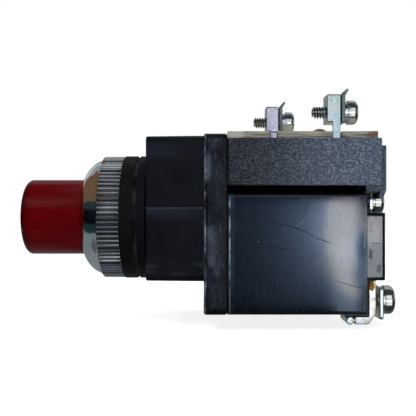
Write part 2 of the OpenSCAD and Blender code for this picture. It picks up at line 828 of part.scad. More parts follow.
// From the lamp socket through the adapter plate, then round the core to the outer winding
module lamp_leads() {
    turn_x = (plate_x1 + case_wall + core_cx - core_len / 2) / 2;
    color("#c23b2e") for (y = lamp_lead_y) {
        side = sign(y);
        swept([[contact_x1, y, 0], [plate_x1 + case_wall / 2, y, 0], [turn_x - 0.3, y + side * 0.2, 0],
            [turn_x, y + side, 0], [turn_x, side * (bobbin_edge - 2), 0],
            [turn_x + 1, side * (bobbin_edge - 0.4), 0],
            [turn_x + 3, side * bobbin_edge, -0.5], [core_cx - 1.6 * core_leg, side * bobbin_edge, -3],
            [core_cx - core_leg, side * (coil_r + 0.5), core_cz + 0.9 * core_leg],
            [core_cx - core_leg / 2, side * coil_r, core_cz + 0.55 * core_leg]], lead_d, 10);
    }
}

// From the inner winding out past the bobbin, then straight back to the bars
module supply_leads() {
    module lead(side, z) {
        step = sign(z - core_cz);
        swept([[core_cx + core_leg / 2, side * coil_r, core_cz + step * 0.55 * core_leg],
            [core_cx + core_leg, side * (coil_r + 0.3), core_cz + step * 0.73 * core_leg],
            [core_cx + 2 * core_leg + 0.6, side * coil_r, core_cz + step * 1.09 * core_leg],
            [cover_x - 2, side * (supply_lead_y + 0.6), z - step], [cover_x - 0.6, side * supply_lead_y, z],
            [seat_x1, side * supply_lead_y, z]], lead_d, 10);
    }
    color("#7a2f16") {
        lead(-1, barrier_z - 2);
        lead(1, barrier_z1 + 2);
    }
}

// Supply terminals

module upper_terminal() {
    color("#e6e4dc") difference() {
        box([seat_x1, supply_y - bar_w / 2, barrier_z1 + 0.3], [bar_x1, supply_y + bar_w / 2, case_z1 + 1.4]);
        translate([0, supply_y, upper_screw_z])
            rod(supply_thread_d + 2 * pin_gap, seat_x1 - cut, bar_x1 + cut);
    }
}

module lower_terminal() {
    roll_d = bar_t + 0.1;
    roll_x = case_x1 - 2.5;
    run_x = roll_x + roll_d / 2 + 0.1;
    neck_t = 0.8;
    module drawn() {
        along_y(-supply_y - bar_w / 2, bar_w / 2 - supply_y) children();
    }
    color("#e6e4dc") difference() {
        union() {
            drawn() polygon([[seat_x1, barrier_z - 0.8], [bar_x1, barrier_z - 0.8], [bar_x1, foot_z + 0.8],
                [seat_x1 + 0.1, foot_z - bar_t], [run_x, foot_z - bar_t], [run_x, foot_z], [seat_x1, foot_z]]);
            drawn() translate([roll_x, foot_z - roll_d / 2]) circle(d = roll_d);
            drawn() translate([roll_x, foot_z - bar_t / 2 - neck_t / 2]) square([run_x - roll_x + 1, neck_t]);
        }
        translate([0, -supply_y, lower_screw_z])
            rod(supply_thread_d + 2 * pin_gap, seat_x1 - cut, bar_x1 + cut);
    }
}

module supply_screws() {
    color("#c9cdd0") at_supply_screws() translate([supply_head_x, 0, 0])
        pan_screw(supply_thread_d, supply_head_d, supply_head_h, supply_screw_len);
}

module supply_washers() {
    half = supply_washer_w / 2;
    color("#dcdee0") at_supply_screws() difference() {
        bar_x([supply_washer_x, -half, -washer_reach],
            [supply_washer_x + supply_washer_t, half, supply_washer_top], 0.8);
        rod(supply_thread_d + 2 * fit_gap, bar_x1 - cut, supply_head_x + cut);
    }
}

module supply_lock_washers() {
    color("#b4b8bb") at_supply_screws() translate([supply_head_x - supply_lock_t, 0, 0])
        lock_washer(supply_thread_d + 2 * fit_gap, supply_head_d - 1, supply_lock_t);
}

// Contact block

module contact_housing() {
    half = block_w / 2;
    rib_half = half - 2.5;
    hook_w = 5.5;
    rib_top = block_z1 - 1.9;
    module rib(y0, y1, z0) {
        along_y(y0, y1) polygon([[block_x1 - 0.01, z0], [block_x1 + rib_t - 1, z0],
            [block_x1 + rib_t, min(z0 + 2.5, rib_top - 1)], [block_x1 + rib_t, rib_top],
            [block_x1 - 0.01, rib_top]]);
    }
    color("#24272d") difference() {
        union() {
            box([plate_x1, -half, block_z], [block_x1, half, block_z1]);
            rib(-rib_half, rib_half, block_z);
            for (y = [-rib_half, rib_half - hook_w]) {
                rib(y, y + hook_w, block_z - hook_drop);
                box([block_x1 - hook_len, y, block_z - hook_drop / 2],
                    [block_x1, y + hook_w, block_z + 0.01]);
            }
        }
        box([plate_x1 + block_wall, -cavity_half, block_z + block_wall],
            [block_x1 - block_wall, cavity_half, block_z1 + cut]);
        rod(push_rod_d + 2 * bore_gap, plate_x1 - cut, plate_x1 + block_wall + cut, z = push_z);
        at_block_screws() rod(assembly_d + 2 * pin_gap, plate_x1 - cut, plate_x + block_screw_len + 3);
    }
}

module fibre_cover() {
    slot_w = leg_w + 0.6;
    slot_y = strip_y - 0.4;
    module slot(x, width, side) {
        box([x - width / 2, side > 0 ? slot_y : -fibre_half - cut, block_z1 - cut],
            [x + width / 2, side > 0 ? fibre_half + cut : -slot_y, fibre_z1 + cut]);
    }
    color("#9c998c") difference() {
        box([plate_x1 + 0.2, -fibre_half, block_z1], [block_x1, fibre_half, fibre_z1]);
        slot(leg_x(front_x), slot_w, 1);
        slot(leg_x(rear_x), slot_w, -1);
        slot(front_tab_x(), tab_w + 0.4, -1);
        slot(rear_tab_x(), tab_w + 0.4, 1);
    }
}

// The leg of a terminal stands under the rear edge of its post
function leg_x(x) = x + (post_len - leg_w) / 2;
function front_tab_x() = front_x - 2;
function rear_tab_x() = rear_x + 2;

// A contact terminal on the +Y side: its post, its leg, the strip to the fixed contact and a retaining tab
module terminal(x, tab_x) {
    strip_z = push_z - strip_h / 2;
    outer_y = strip_y + strip_t;
    difference() {
        bar_x([x - post_len / 2, outer_y - post_w, post_z], [x + post_len / 2, outer_y, post_z + post_h], 0.5);
        rod(screw_d + 2 * pin_gap, x - post_len, x + post_len, y = post_y, z = screw_z);
    }
    leg = leg_x(x);
    box([leg - leg_w / 2, strip_y, strip_z], [leg + leg_w / 2, outer_y, post_z + 1]);
    box([min(leg - leg_w / 2, pad_x), strip_y, strip_z],
        [max(leg + leg_w / 2, pad_x + strip_t), outer_y, strip_z + strip_h]);
    box([pad_x, outer_y - pad_len - strip_t, strip_z], [pad_x + strip_t, outer_y, strip_z + strip_h]);
    rod(rivet_d, pad_x - rivet_t, pad_x + 0.01, y = rivet_y, z = push_z);
    box([min(x, tab_x) - tab_w / 2, strip_y - 1, block_z1 - 0.2 - tab_t],
        [max(x, tab_x) + tab_w / 2, outer_y, block_z1 - 0.2]);
    box([tab_x - tab_w / 2, -outer_y, block_z1 - 0.2 - tab_t], [tab_x + tab_w / 2, outer_y, block_z1 - 0.2]);
    box([tab_x - tab_w / 2, -outer_y, block_z1 - 0.2 - tab_t],
        [tab_x + tab_w / 2, tab_t - outer_y, fibre_z1 - 0.3]);
}

module front_terminal() {
    color("#d9d6c8") terminal(front_x, front_tab_x());
}

module rear_terminal() {
    color("#d9d6c8") mirror([0, 1, 0]) terminal(rear_x, rear_tab_x());
}

module terminal_screws() {
    color("#c9cdd0") at_contact_screws() translate([head_x, 0, 0])
        pan_screw(screw_d, screw_head_d, screw_head_h, screw_len);
}

module terminal_clamps() {
    lip_h = 1.7;
    lip_lean = 1;
    low = post_z - screw_z;
    high = low + post_h;
    color("#c3c8cb") at_contact_screws() difference() {
        along_y(-post_w / 2, post_w / 2) polygon([[clamp_x, low], [clamp_x + clamp_t, low],
            [clamp_x + clamp_t, high - 0.4], [clamp_x + clamp_t + lip_lean, high + lip_h - 0.4],
            [clamp_x + clamp_t + lip_lean - 0.5, high + lip_h], [clamp_x, high - 0.2]]);
        rod(screw_d + 2 * fit_gap, 0, head_x + cut);
    }
}

module terminal_lock_washers() {
    color("#aeb3b6") at_contact_screws() translate([head_x - lock_t, 0, 0])
        lock_washer(screw_d + 2 * fit_gap, screw_head_d - 1, lock_t);
}

// Moving contact

module contact_plunger() {
    half = plunger_w / 2;
    color("#d8d3c2") difference() {
        union() {
            rod(push_rod_d, push_rod_x1 + seat_gap, plunger_x + cut, z = push_z);
            bar_x([plunger_x, -half, push_z - plunger_h / 2], [plunger_x1, half, push_z + plunger_h / 2], 0.8);
        }
        box([window_x, -plunger_w, push_z - bridge_h / 2 - 0.2],
            [bridge_x1, plunger_w, push_z + bridge_h / 2 + 0.2]);
    }
}

module contact_bridge() {
    color("#c08a52") {
        box([bridge_x1 - bridge_t, -bridge_half, push_z - bridge_h / 2],
            [bridge_x1, bridge_half, push_z + bridge_h / 2]);
        for (side = [-1, 1])
            rod(rivet_d, bridge_x1 - 0.01, bridge_x1 + rivet_t, y = side * rivet_y, z = push_z);
    }
}

module contact_spring() {
    color("#a7abad") spring(contact_spring_r, contact_wire, 6, window_x + 0.05, bridge_x1 - bridge_t - 0.05,
        z = push_z);
}

module plunger_spring() {
    color("#a7abad") spring(plunger_spring_r, plunger_wire, 8, plunger_x1 + 0.05,
        block_x1 - block_wall - 0.05, z = push_z);
}

operator_body();
bezel_nut();
panel_gasket();
spacer_ring();
lens();
button_sleeve();
sleeve_seal();
push_rod();
return_spring();
lamp_holder();
lamp_socket();
lamp_contact();
lamp_cap();
lamp_glass();
adapter_plate();
assembly_screws();
block_screws();
transformer_case();
rear_cover();
transformer_core();
coil_bobbin();
primary_winding();
secondary_winding();
lamp_leads();
supply_leads();
upper_terminal();
lower_terminal();
supply_screws();
supply_washers();
supply_lock_washers();
contact_housing();
fibre_cover();
front_terminal();
rear_terminal();
terminal_screws();
terminal_clamps();
terminal_lock_washers();
contact_plunger();
contact_bridge();
contact_spring();
plunger_spring();
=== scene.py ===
"""Illuminated pushbutton switch: the looks of every piece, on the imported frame."""

import math

import bmesh
import bpy
from mathutils import Matrix, Vector


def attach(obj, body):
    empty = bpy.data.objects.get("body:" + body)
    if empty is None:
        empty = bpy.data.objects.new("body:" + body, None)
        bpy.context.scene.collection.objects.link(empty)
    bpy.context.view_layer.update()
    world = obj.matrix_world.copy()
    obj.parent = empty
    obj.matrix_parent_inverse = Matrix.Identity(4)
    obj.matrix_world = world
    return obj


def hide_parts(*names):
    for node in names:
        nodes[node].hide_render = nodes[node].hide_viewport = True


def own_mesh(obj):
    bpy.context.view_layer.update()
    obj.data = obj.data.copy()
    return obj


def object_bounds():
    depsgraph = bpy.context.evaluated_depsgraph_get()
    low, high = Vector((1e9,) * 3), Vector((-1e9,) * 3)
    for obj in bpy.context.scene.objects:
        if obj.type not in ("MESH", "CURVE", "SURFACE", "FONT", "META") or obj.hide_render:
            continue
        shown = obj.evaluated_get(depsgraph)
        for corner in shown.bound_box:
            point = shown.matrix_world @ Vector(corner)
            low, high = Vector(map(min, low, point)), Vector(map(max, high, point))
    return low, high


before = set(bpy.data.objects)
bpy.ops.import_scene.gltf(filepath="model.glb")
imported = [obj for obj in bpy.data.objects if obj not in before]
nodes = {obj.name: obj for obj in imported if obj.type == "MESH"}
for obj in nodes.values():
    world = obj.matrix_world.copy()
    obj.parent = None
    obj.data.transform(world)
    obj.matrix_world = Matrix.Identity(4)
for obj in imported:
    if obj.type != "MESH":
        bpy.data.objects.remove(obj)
cad_low, cad_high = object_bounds()

MM = 0.001

# Finishes


def shade(red, green, blue):
    """A screen colour, 0 to 255, as the linear colour that Blender uses."""

    def linear(value):
        value /= 255
        return value / 12.92 if value <= 0.04045 else ((value + 0.055) / 1.055) ** 2.4

    return linear(red), linear(green), linear(blue), 1.0


def feed(tree, socket, value):
    """A socket gets a link or a plain value."""
    if isinstance(value, bpy.types.NodeSocket):
        tree.links.new(value, socket)
    else:
        socket.default_value = value


def fed_node(tree, kind, *in_order, **by_name):
    """A new shader node with its inputs fed, the first ones in order and the others by name."""
    node = tree.nodes.new("ShaderNode" + kind)
    for socket, value in zip(node.inputs, in_order):
        feed(tree, socket, value)
    for name, value in by_name.items():
        feed(tree, node.inputs[name.replace("_", " ")], value)
    return node


class Look:
    """Builds one procedural finish, from screen colours of 0 to 255.

    Its patterns are measured in millimetres on Object coordinates.
    """

    def __init__(self, name, colour, roughness, **sockets):
        self.material = bpy.data.materials.new(name)
        self.material.use_nodes = True
        self.tree = self.material.node_tree
        self.shader = self.tree.nodes["Principled BSDF"]
        for socket, value in {"Base_Color": shade(*colour), "Roughness": roughness, **sockets}.items():
            self.shader.inputs[socket.replace("_", " ")].default_value = value
        metres = self.add("TexCoord").outputs["Object"]
        self.place = self.add("Mapping", Vector=metres, Scale=(1 / MM, 1 / MM, 1 / MM)).outputs["Vector"]

    def add(self, kind, *in_order, **by_name):
        """A new node of this finish, with its inputs fed."""
        return fed_node(self.tree, kind, *in_order, **by_name)

    def where(self, stretch=(1, 1, 1), shift=(0, 0, 0), turn=(0, 0, 0)):
        """The place on the piece, stretched so that a pattern runs longer along an axis."""
        angles = [math.radians(angle) for angle in turn]
        scale = [1 / length for length in stretch]
        node = self.add("Mapping", Vector=self.place, Location=shift, Rotation=angles, Scale=scale)
        return node.outputs["Vector"]

    def axis(self, letter):
        """The place along one axis, in millimetres."""
        return self.add("SeparateXYZ", Vector=self.place).outputs[letter]

    def cloud(self, size, detail=4, roughness=0.55, distortion=0.0, **where):
        """Soft noise with blotches of about this size."""
        inputs = {"Detail": detail, "Roughness": roughness, "Distortion": distortion}
        return self.add("TexNoise", Vector=self.where(**where), Scale=1 / size, **inputs).outputs["Fac"]

    def cells(self, size, feature="F1", **where):
        """Distance to the nearest grain point."""
        node = self.add("TexVoronoi", Vector=self.where(**where), Scale=1 / size)
        node.feature = feature
        return node.outputs["Distance"]

    def ramp(self, value, low, high, start=0.0, end=1.0):
        """value between low and high, eased to run from start to end."""
        node = self.add("MapRange", Value=value, From_Min=low, From_Max=high, To_Min=start, To_Max=end)
        node.interpolation_type = "SMOOTHSTEP"
        return node.outputs["Result"]

    def work(self, operation, first, second=0.0):
        """One sum with two values."""
        node = self.add("Math", first, second)
        node.operation = operation
        return node.outputs["Value"]

    def band(self, letter, low, high, soft):
        """1 between low and high along an axis, with soft ends this long."""
        place = self.axis(letter)
        return self.both(self.ramp(place, low - soft, low), self.ramp(place, high + soft, high))

    def both(self, first, second):
        return self.work("MULTIPLY", first, second)

    def either(self, first, second):
        return self.work("MAXIMUM", first, second)

    def blend(self, amount, first, second):
        """The first tone, or the second where amount is 1. A tone is a screen colour or a link."""
        node = self.add("Mix", amount)
        node.data_type = "RGBA"
        for socket, tone in zip(node.inputs[6:8], (first, second)):
            feed(self.tree, socket, shade(*tone) if isinstance(tone, tuple) else tone)
        return node.outputs[2]

    def base(self, amount, first, second):
        """The tone that the other layers lie on."""
        self.tone = self.blend(amount, first, second)

    def over(self, mask, colour, amount=1.0):
        """One more layer: a colour over the tone so far where mask is, by amount."""
        self.tone = self.blend(self.both(mask, amount), self.tone, colour)

    def relief(self, height, depth):
        """Bumps of this depth in millimetres, on top of any that are there already."""
        node = self.add("Bump", Height=height, Strength=1.0, Distance=depth * MM)
        for link in list(self.tree.links):
            if link.to_socket == self.shader.inputs["Normal"]:
                self.tree.links.new(link.from_socket, node.inputs["Normal"])
        self.tree.links.new(node.outputs["Normal"], self.shader.inputs["Normal"])

    def done(self, dull, *bumps):
        """The material with its tone, its roughness and its bumps, each a height and a depth."""
        self.tree.links.new(self.tone, self.shader.inputs["Base Color"])
        self.tree.links.new(dull, self.shader.inputs["Roughness"])
        for height, depth in bumps:
            self.relief(height, depth)
        return self.material


def smooth_black():
    """Moulded phenolic of the operator body: dull black, with a painted highlight along its parting line
    and a painted glow under it, a painted bluish reflection high up at the front, dusty low down.
    """
    look = Look("smooth_black_moulding", (12, 13, 17), 0.3, Specular_IOR_Level=0.25)
    haze = look.cloud(9, detail=5)
    dust = look.ramp(look.cells(2.3), 0.075, 0.03)
    dust = look.both(dust, look.ramp(look.cloud(3.1, detail=2), 0.54, 0.6))
    dust = look.both(dust, look.ramp(look.axis("Z"), 3, -8))
    film = look.ramp(look.cloud(2.4, detail=5, stretch=(2.2, 1, 1)), 0.5, 0.72)
    film = look.both(film, look.band("Z", -15.6, -13.4, 1.2))
    rub = look.ramp(look.cloud(1.2, detail=6, stretch=(0.45, 1, 3.4), turn=(0, 6, 0)), 0.62, 0.74)
    # The parting line's painted highlight, broken up by noise, and the painted glow under the line
    highlight_breaks = look.ramp(look.cloud(5, detail=4, stretch=(2, 1, 1)), 0.32, 0.62, 0.06, 0.5)
    parting = look.both(look.band("Z", 2.75, 3.0, 0.12), highlight_breaks)
    height = look.axis("Z")
    below = look.both(look.ramp(height, -1.4, 2.8), look.ramp(height, 3.15, 3.05))
    below = look.both(below, look.ramp(look.cloud(5, detail=3, stretch=(2.4, 1, 1)), 0.3, 0.7))
    # Painted bluish reflection high up at the front
    shine = look.both(look.band("Z", 18.4, 20.4, 1.8), look.ramp(look.axis("X"), 14, 3))
    look.base(haze, (6, 8, 13), (13, 16, 24))
    look.over(shine, (24, 31, 47), 0.7)
    look.over(below, (34, 41, 54), 0.8)
    look.over(rub, (70, 74, 82), 0.28)
    look.over(parting, (84, 90, 102))
    look.over(film, (92, 92, 92), 0.22)
    look.over(dust, (132, 132, 132))
    dull = look.ramp(haze, 0.25, 0.8, 0.24, 0.44)
    bumps = ((look.cloud(0.28, detail=3), 0.006), (look.cloud(6, detail=2), 0.05))
    return look.done(dull, *bumps)


def scuffed_black():
    """Moulding of the adapter plate: pale along its front edge with wear and a painted highlight,
    streaked, darker in patches and low down, with painted sheen in two bands and painted shade along its
    rear edge and at its top and bottom.
    """
    look = Look("scuffed_black_moulding", (20, 23, 30), 0.36, Specular_IOR_Level=0.27)
    haze = look.cloud(4.2, detail=6, stretch=(0.8, 1, 1.9))
    wear = look.cloud(1.1, detail=6, roughness=0.7, stretch=(1, 1, 2.6))
    outer = look.ramp(look.work("ABSOLUTE", look.axis("Y")), 20.8, 21.8)
    ragged = look.work("ADD", look.axis("X"), look.ramp(wear, 0.3, 0.7, 0.35, -0.3))
    # Pale along the front edge: wear, and a painted highlight on the rounded edge
    edge = look.both(look.ramp(ragged, 17.2, 16.85), outer)
    edge = look.both(edge, look.ramp(wear, 0.42, 0.58, 0.04, 0.9))
    scrape = look.ramp(look.cloud(0.6, detail=5, stretch=(0.5, 1, 5), turn=(0, -18, 0)), 0.58, 0.68)
    fine = look.ramp(look.cloud(0.26, detail=4, stretch=(0.6, 1, 6), turn=(0, 14, 0)), 0.56, 0.68)
    slanted = look.ramp(look.cloud(0.3, detail=4, stretch=(0.6, 1, 7), turn=(0, 48, 0)), 0.58, 0.68)
    lighter_patch = look.ramp(look.cloud(6, detail=3, stretch=(1, 1, 1.5), shift=(3, 0, 5)), 0.42, 0.58)
    fine = look.both(look.either(fine, slanted), look.ramp(lighter_patch, 0.0, 1.0, 0.12, 1.0))
    # Painted shade along the rear edge, next to the case, and at the top and bottom
    height = look.axis("Z")
    ends = look.either(look.ramp(height, -24.6, -26.4), look.ramp(height, 22.0, 23.2))
    shadow = look.either(look.both(look.ramp(look.axis("X"), 20.8, 23.0), outer), ends)
    look.base(look.ramp(haze, 0.4, 0.62), (2, 3, 6), (16, 22, 34))
    look.over(lighter_patch, (34, 44, 62), 0.4)
    look.over(fine, (92, 100, 114), 0.55)
    look.over(scrape, (102, 108, 118), 0.4)
    # Painted sheen in two soft bands
    lower_sheen = look.both(look.band("Z", -12, -4, 3), look.band("X", 18.2, 19.2, 1.1))
    upper_sheen = look.both(look.band("Z", 12, 17, 3), look.band("X", 17.4, 18, 1))
    sheen = look.both(look.either(lower_sheen, upper_sheen), outer)
    look.over(sheen, (92, 102, 120), look.ramp(haze, 0.3, 0.6, 0.12, 0.42))
    # Darker in patches, and darker towards the bottom
    patch_mask = look.both(look.band("Z", -0.5, 6.5, 2), look.ramp(ragged, 17.8, 19.4))
    foot = look.ramp(height, -15, -20, 0.0, 0.7)
    patch_mask = look.either(look.both(patch_mask, look.ramp(wear, 0.3, 0.6, 1.0, 0.4)), foot)
    look.over(look.both(patch_mask, outer), (9, 11, 15), 0.62)
    look.over(shadow, (7, 8, 11), 0.85)
    look.over(edge, (140, 146, 156), 0.85)
    dull = look.ramp(wear, 0.3, 0.75, 0.24, 0.5)
    return look.done(dull, (wear, 0.04), (look.cloud(0.25, detail=3), 0.006))


# Wiping lines: their lean in degrees, and how thin they are
WIPE_LINES = ((9, 0.6), (-16, 0.62), (40, 0.63), (84, 0.62), (118, 0.64))
# Smears on the barrier, tinted with a painted bluish sheen: their reach along X and along Z, and how
# strong they are
SMEAR_AND_SHEEN_PATCHES = (((64.5, 65.0), (-11.3, -9.5), 0.9), ((66.8, 67.5), (-15.2, -14.0), 0.6))


def gloss_black(name, front_edge=None, smears=0.0):
    """Glossy moulding of the transformer case and its cover, with fine wiping marks, a painted shadow
    and a painted highlight along the case's front edge, and a painted bluish sheen on the cover's
    smears.
    """
    look = Look(name, (10, 12, 17), 0.07)
    haze = look.cloud(11, detail=4)
    mist = look.cloud(0.8, detail=5, roughness=0.75)
    wipe = 0.0
    for lean, thin in WIPE_LINES:
        line = look.cloud(0.24, detail=3, stretch=(1, 1, 22), turn=(0, lean, 0))
        wipe = look.either(wipe, look.ramp(line, thin, thin + 0.13))
    wipe = look.both(wipe, look.ramp(look.cloud(6, detail=3), 0.3, 0.6, 0.35, 1.0))
    speck = look.ramp(look.cells(3.4), 0.05, 0.02)
    speck = look.both(speck, look.ramp(look.cloud(4, detail=1), 0.5, 0.6))
    look.base(haze, (4, 6, 10), (11, 15, 23))
    look.over(look.ramp(mist, 0.45, 0.7, 0.0, 0.17), (56, 66, 84))
    look.over(wipe, (64, 72, 88), 0.34)
    look.over(speck, (120, 124, 130), 0.6)
    if front_edge is not None:
        # Painted shadow where the case meets the plate, then a painted highlight along the rounded front
        # edge, with gaps in it
        highlight_gaps = look.ramp(look.cloud(1.4, detail=5, stretch=(1, 1, 3)), 0.38, 0.56)
        highlight_gaps = look.both(highlight_gaps, look.ramp(look.axis("Z"), -24, -4, 0.25, 1.0))
        behind = look.work("SUBTRACT", look.axis("X"), front_edge)
        look.over(look.ramp(behind, 0.5, 0.4), (4, 5, 6))
        rim = look.both(look.ramp(behind, 2.8, 0.7), look.ramp(haze, 0.3, 0.6))
        look.over(rim, (48, 58, 74), 0.6)
        edge_highlight = look.band("X", front_edge + 0.56, front_edge + 0.8, 0.1)
        look.over(look.both(edge_highlight, highlight_gaps), (178, 182, 190), 0.85)
    gloss = look.ramp(haze, 0.3, 0.75, 0.055, 0.085)
    if smears:
        # The smears make the cover rougher; their bluish tint is a painted sheen
        faint = look.cloud(2.4, detail=2, stretch=(0.7, 1, 1))
        patch_mask = look.both(look.ramp(faint, 0.54, 0.66), 0.14)
        for patch_x, patch_z, amount in SMEAR_AND_SHEEN_PATCHES:
            patch = look.both(look.band("X", *patch_x, 0.45), look.band("Z", *patch_z, 0.9))
            patch = look.both(patch, look.ramp(look.cloud(0.7, detail=3), 0.3, 0.5))
            patch_mask = look.either(patch_mask, look.both(patch, amount))
        look.over(patch_mask, (50, 62, 94), 0.5)
        gloss = look.work("ADD", gloss, look.both(patch_mask, smears))
    dull = look.work("ADD", gloss, look.both(wipe, 0.04))
    return look.done(dull, (wipe, 0.0006))


def grained_black():
    """Contact housing: a fine crisp grain in the mould, with painted light growing towards its rear and
    painted glints on the grain's peaks.
    """
    look = Look("grained_black_moulding", (30, 33, 40), 0.4, Specular_IOR_Level=0.28)
    pebble = look.cells(0.3, feature="SMOOTH_F1", stretch=(1.5, 1, 0.9), turn=(0, 25, 0))
    fine = look.cloud(0.2, detail=2, roughness=0.6)
    grain = look.work("ADD", look.both(pebble, 0.9), look.both(fine, 0.7))
    haze = look.cloud(7, detail=4)
    # Painted light, lighter towards the rear end
    rear = look.ramp(look.axis("X"), 24, 62)
    look.base(haze, (3, 4, 8), (9, 11, 17))
    look.over(rear, (64, 76, 95), 0.68)
    # Painted glints on the grain's peaks, stronger with the painted light
    peak = look.both(look.ramp(grain, 0.6, 0.98), look.ramp(rear, 0.0, 1.0, 0.24, 0.75))
    look.over(peak, (124, 134, 152))
    dull = look.ramp(fine, 0.3, 0.7, 0.3, 0.52)
    return look.done(dull, (grain, 0.08))


def rubber(name, dark, light, edge):
    """Dull rubber, or the spacer's moulding that looks like it, with a painted highlight in places along
    one edge.
    """
    look = Look(name, dark, 0.55, Specular_IOR_Level=0.16)
    haze = look.cloud(3.5, detail=5)
    look.base(haze, dark, light)
    # Painted highlight along the edge, in patches
    patchy = look.ramp(look.cloud(4, detail=5), 0.4, 0.6)
    lighter_patch = look.both(look.band("X", edge, edge + 0.25, 0.2), patchy)
    look.over(lighter_patch, (62, 66, 74), 0.6)
    dull = look.ramp(haze, 0.3, 0.7, 0.45, 0.68)
    return look.done(dull, (look.cloud(0.35, detail=4), 0.02))


def clear_red():
    """Tinted lens plastic, dense and satin, with fine lines along it and a dark front edge."""
    see_through = {"Transmission_Weight": 0.15, "Specular_IOR_Level": 0.07}
    look = Look("red_lens_plastic", (84, 1, 4), 0.14, **see_through)
    rub = look.cloud(0.45, detail=4, stretch=(16, 1, 1))
    haze = look.cloud(6, detail=2)
    turning = look.ramp(look.cloud(0.3, detail=3, stretch=(1, 40, 40)), 0.38, 0.62)
    look.base(look.ramp(rub, 0.35, 0.65), (80, 0, 4), (104, 0, 8))
    look.over(turning, (70, 0, 4), 0.45)
    look.over(haze, (112, 1, 9), 0.3)
    look.over(look.ramp(look.axis("X"), -35.6, -38.4, 0.0, 0.8), (34, 1, 6))
    dull = look.ramp(look.both(rub, haze), 0.12, 0.4, 0.11, 0.17)
    return look.done(dull, (rub, 0.002))


def chrome(ridge_top, ridges):
    """Bright plating on the bezel nut, with faint pits, and painted shade in the hollows between the
    ridges.
    """
    look = Look("bright_chrome", (190, 195, 199), 0.08, Metallic=1.0)
    haze = look.cloud(4, detail=5)
    pit = look.ramp(look.cells(1.2), 0.1, 0.03)
    pit = look.both(pit, look.ramp(look.cloud(5, detail=2), 0.48, 0.6))
    look.base(haze, (182, 188, 192), (202, 205, 208))
    look.over(pit, (120, 112, 100), 0.5)
    across, up = look.axis("Y"), look.axis("Z")
    radius = look.work("SQRT", look.work("ADD", look.both(across, across), look.both(up, up)))
    # Painted shade in the hollows between the ridges
    valley_shade = look.ramp(radius, ridge_top - 0.12, ridge_top - 0.36)
    valley_shade = look.both(valley_shade, look.band("X", *ridges, 0.1))
    look.over(valley_shade, (34, 34, 38), 0.72)
    dull = look.ramp(haze, 0.3, 0.75, 0.05, 0.16)
    return look.done(dull, (look.cloud(1.6, detail=2), 0.004))


# Where the painted shade on the upper washer is left off for its highlight: along Z, and the rise along
# X
UNSHADED_SPOT, UNSHADED_EDGE = (2.9, 5.2), (69.4, 69.8)


def zinc(name, cool, warm, gloss=0.13, stamp=None, shade_above=None):
    """Zinc plate with a faint change of tint, a terminal's oval stamp, and painted shade above a level,
    left off where a highlight falls.
    """
    look = Look(name, cool, gloss, Metallic=1.0)
    tint = look.ramp(look.cloud(3.2, detail=3, distortion=0.6), 0.35, 0.65)
    stain = look.ramp(look.cloud(1.6, detail=3), 0.6, 0.8)
    look.base(tint, cool, warm)
    look.over(stain, (150, 148, 146), 0.25)
    if stamp is not None:
        half_length, half_height = 0.95, 0.4
        along = look.work("DIVIDE", look.work("SUBTRACT", look.axis("X"), stamp[0]), half_length)
        up = look.work("DIVIDE", look.work("SUBTRACT", look.axis("Z"), stamp[1]), half_height)
        reach = look.work("SQRT", look.work("ADD", look.both(along, along), look.both(up, up)))
        ring = look.both(look.ramp(reach, 0.6, 0.85), look.ramp(reach, 1.25, 1.0))
        look.over(ring, (96, 98, 104), 0.16)
        look.relief(ring, -0.008)
    if shade_above is not None:
        # Painted shade on the upper washers, which sit in the shade of the contact housing's hooks
        shade_mask = look.ramp(look.axis("Z"), shade_above, shade_above + 1)
        lighter_patch = look.ramp(look.axis("X"), *UNSHADED_EDGE)
        lighter_patch = look.both(look.band("Z", *UNSHADED_SPOT, 0.6), lighter_patch)
        shade_mask = look.both(shade_mask, look.work("SUBTRACT", 1.0, lighter_patch))
        look.over(shade_mask, (20, 24, 28), 0.97)
    dull = look.ramp(look.cloud(0.6, detail=3), 0.3, 0.75, gloss - 0.03, gloss + 0.06)
    return look.done(dull, (look.cloud(1.4, detail=2), 0.003))


def tinned():
    """Tinned terminal bars, pale and slightly yellowed."""
    look = Look("tinned_bar", (232, 228, 214), 0.3, Metallic=0.85)
    age = look.cloud(2.2, detail=5)
    look.base(look.ramp(age, 0.35, 0.7), (218, 215, 205), (198, 189, 166))
    dull = look.ramp(age, 0.3, 0.7, 0.14, 0.26)
    return look.done(dull, (look.cloud(0.8, detail=3), 0.006))


def fibre():
    """Pressed fibre cover: pale layers with dark streaks on its cut edges, browned at the rear end."""
    look = Look("fibre_sheet", (150, 147, 134), 0.72)
    layers = look.cloud(0.5, detail=5, roughness=0.6, stretch=(14, 14, 0.62))
    flecks = look.cloud(0.35, detail=5, stretch=(2.6, 2.6, 1))
    browned = look.ramp(look.work("ADD", look.axis("X"), look.both(flecks, 4)), 64.5, 69)
    upper_face = look.ramp(look.axis("Z"), 25.12, 25.26)
    mottle = look.ramp(look.cloud(5, detail=5), 0.25, 0.75)
    look.base(look.ramp(layers, 0.36, 0.64), (66, 63, 58), (178, 174, 160))
    top_tone = look.blend(mottle, (146, 142, 129), (182, 178, 164))
    look.over(upper_face, top_tone)
    look.over(look.ramp(flecks, 0.52, 0.7), (118, 112, 100), 0.5)
    look.over(browned, (112, 78, 50), 0.8)
    cut_end = look.ramp(look.axis("X"), 29.5, 26.5)
    look.over(cut_end, (206, 203, 188), 0.7)
    dull = look.ramp(flecks, 0.3, 0.7, 0.62, 0.82)
    return look.done(dull, (layers, 0.05), (flecks, 0.03))


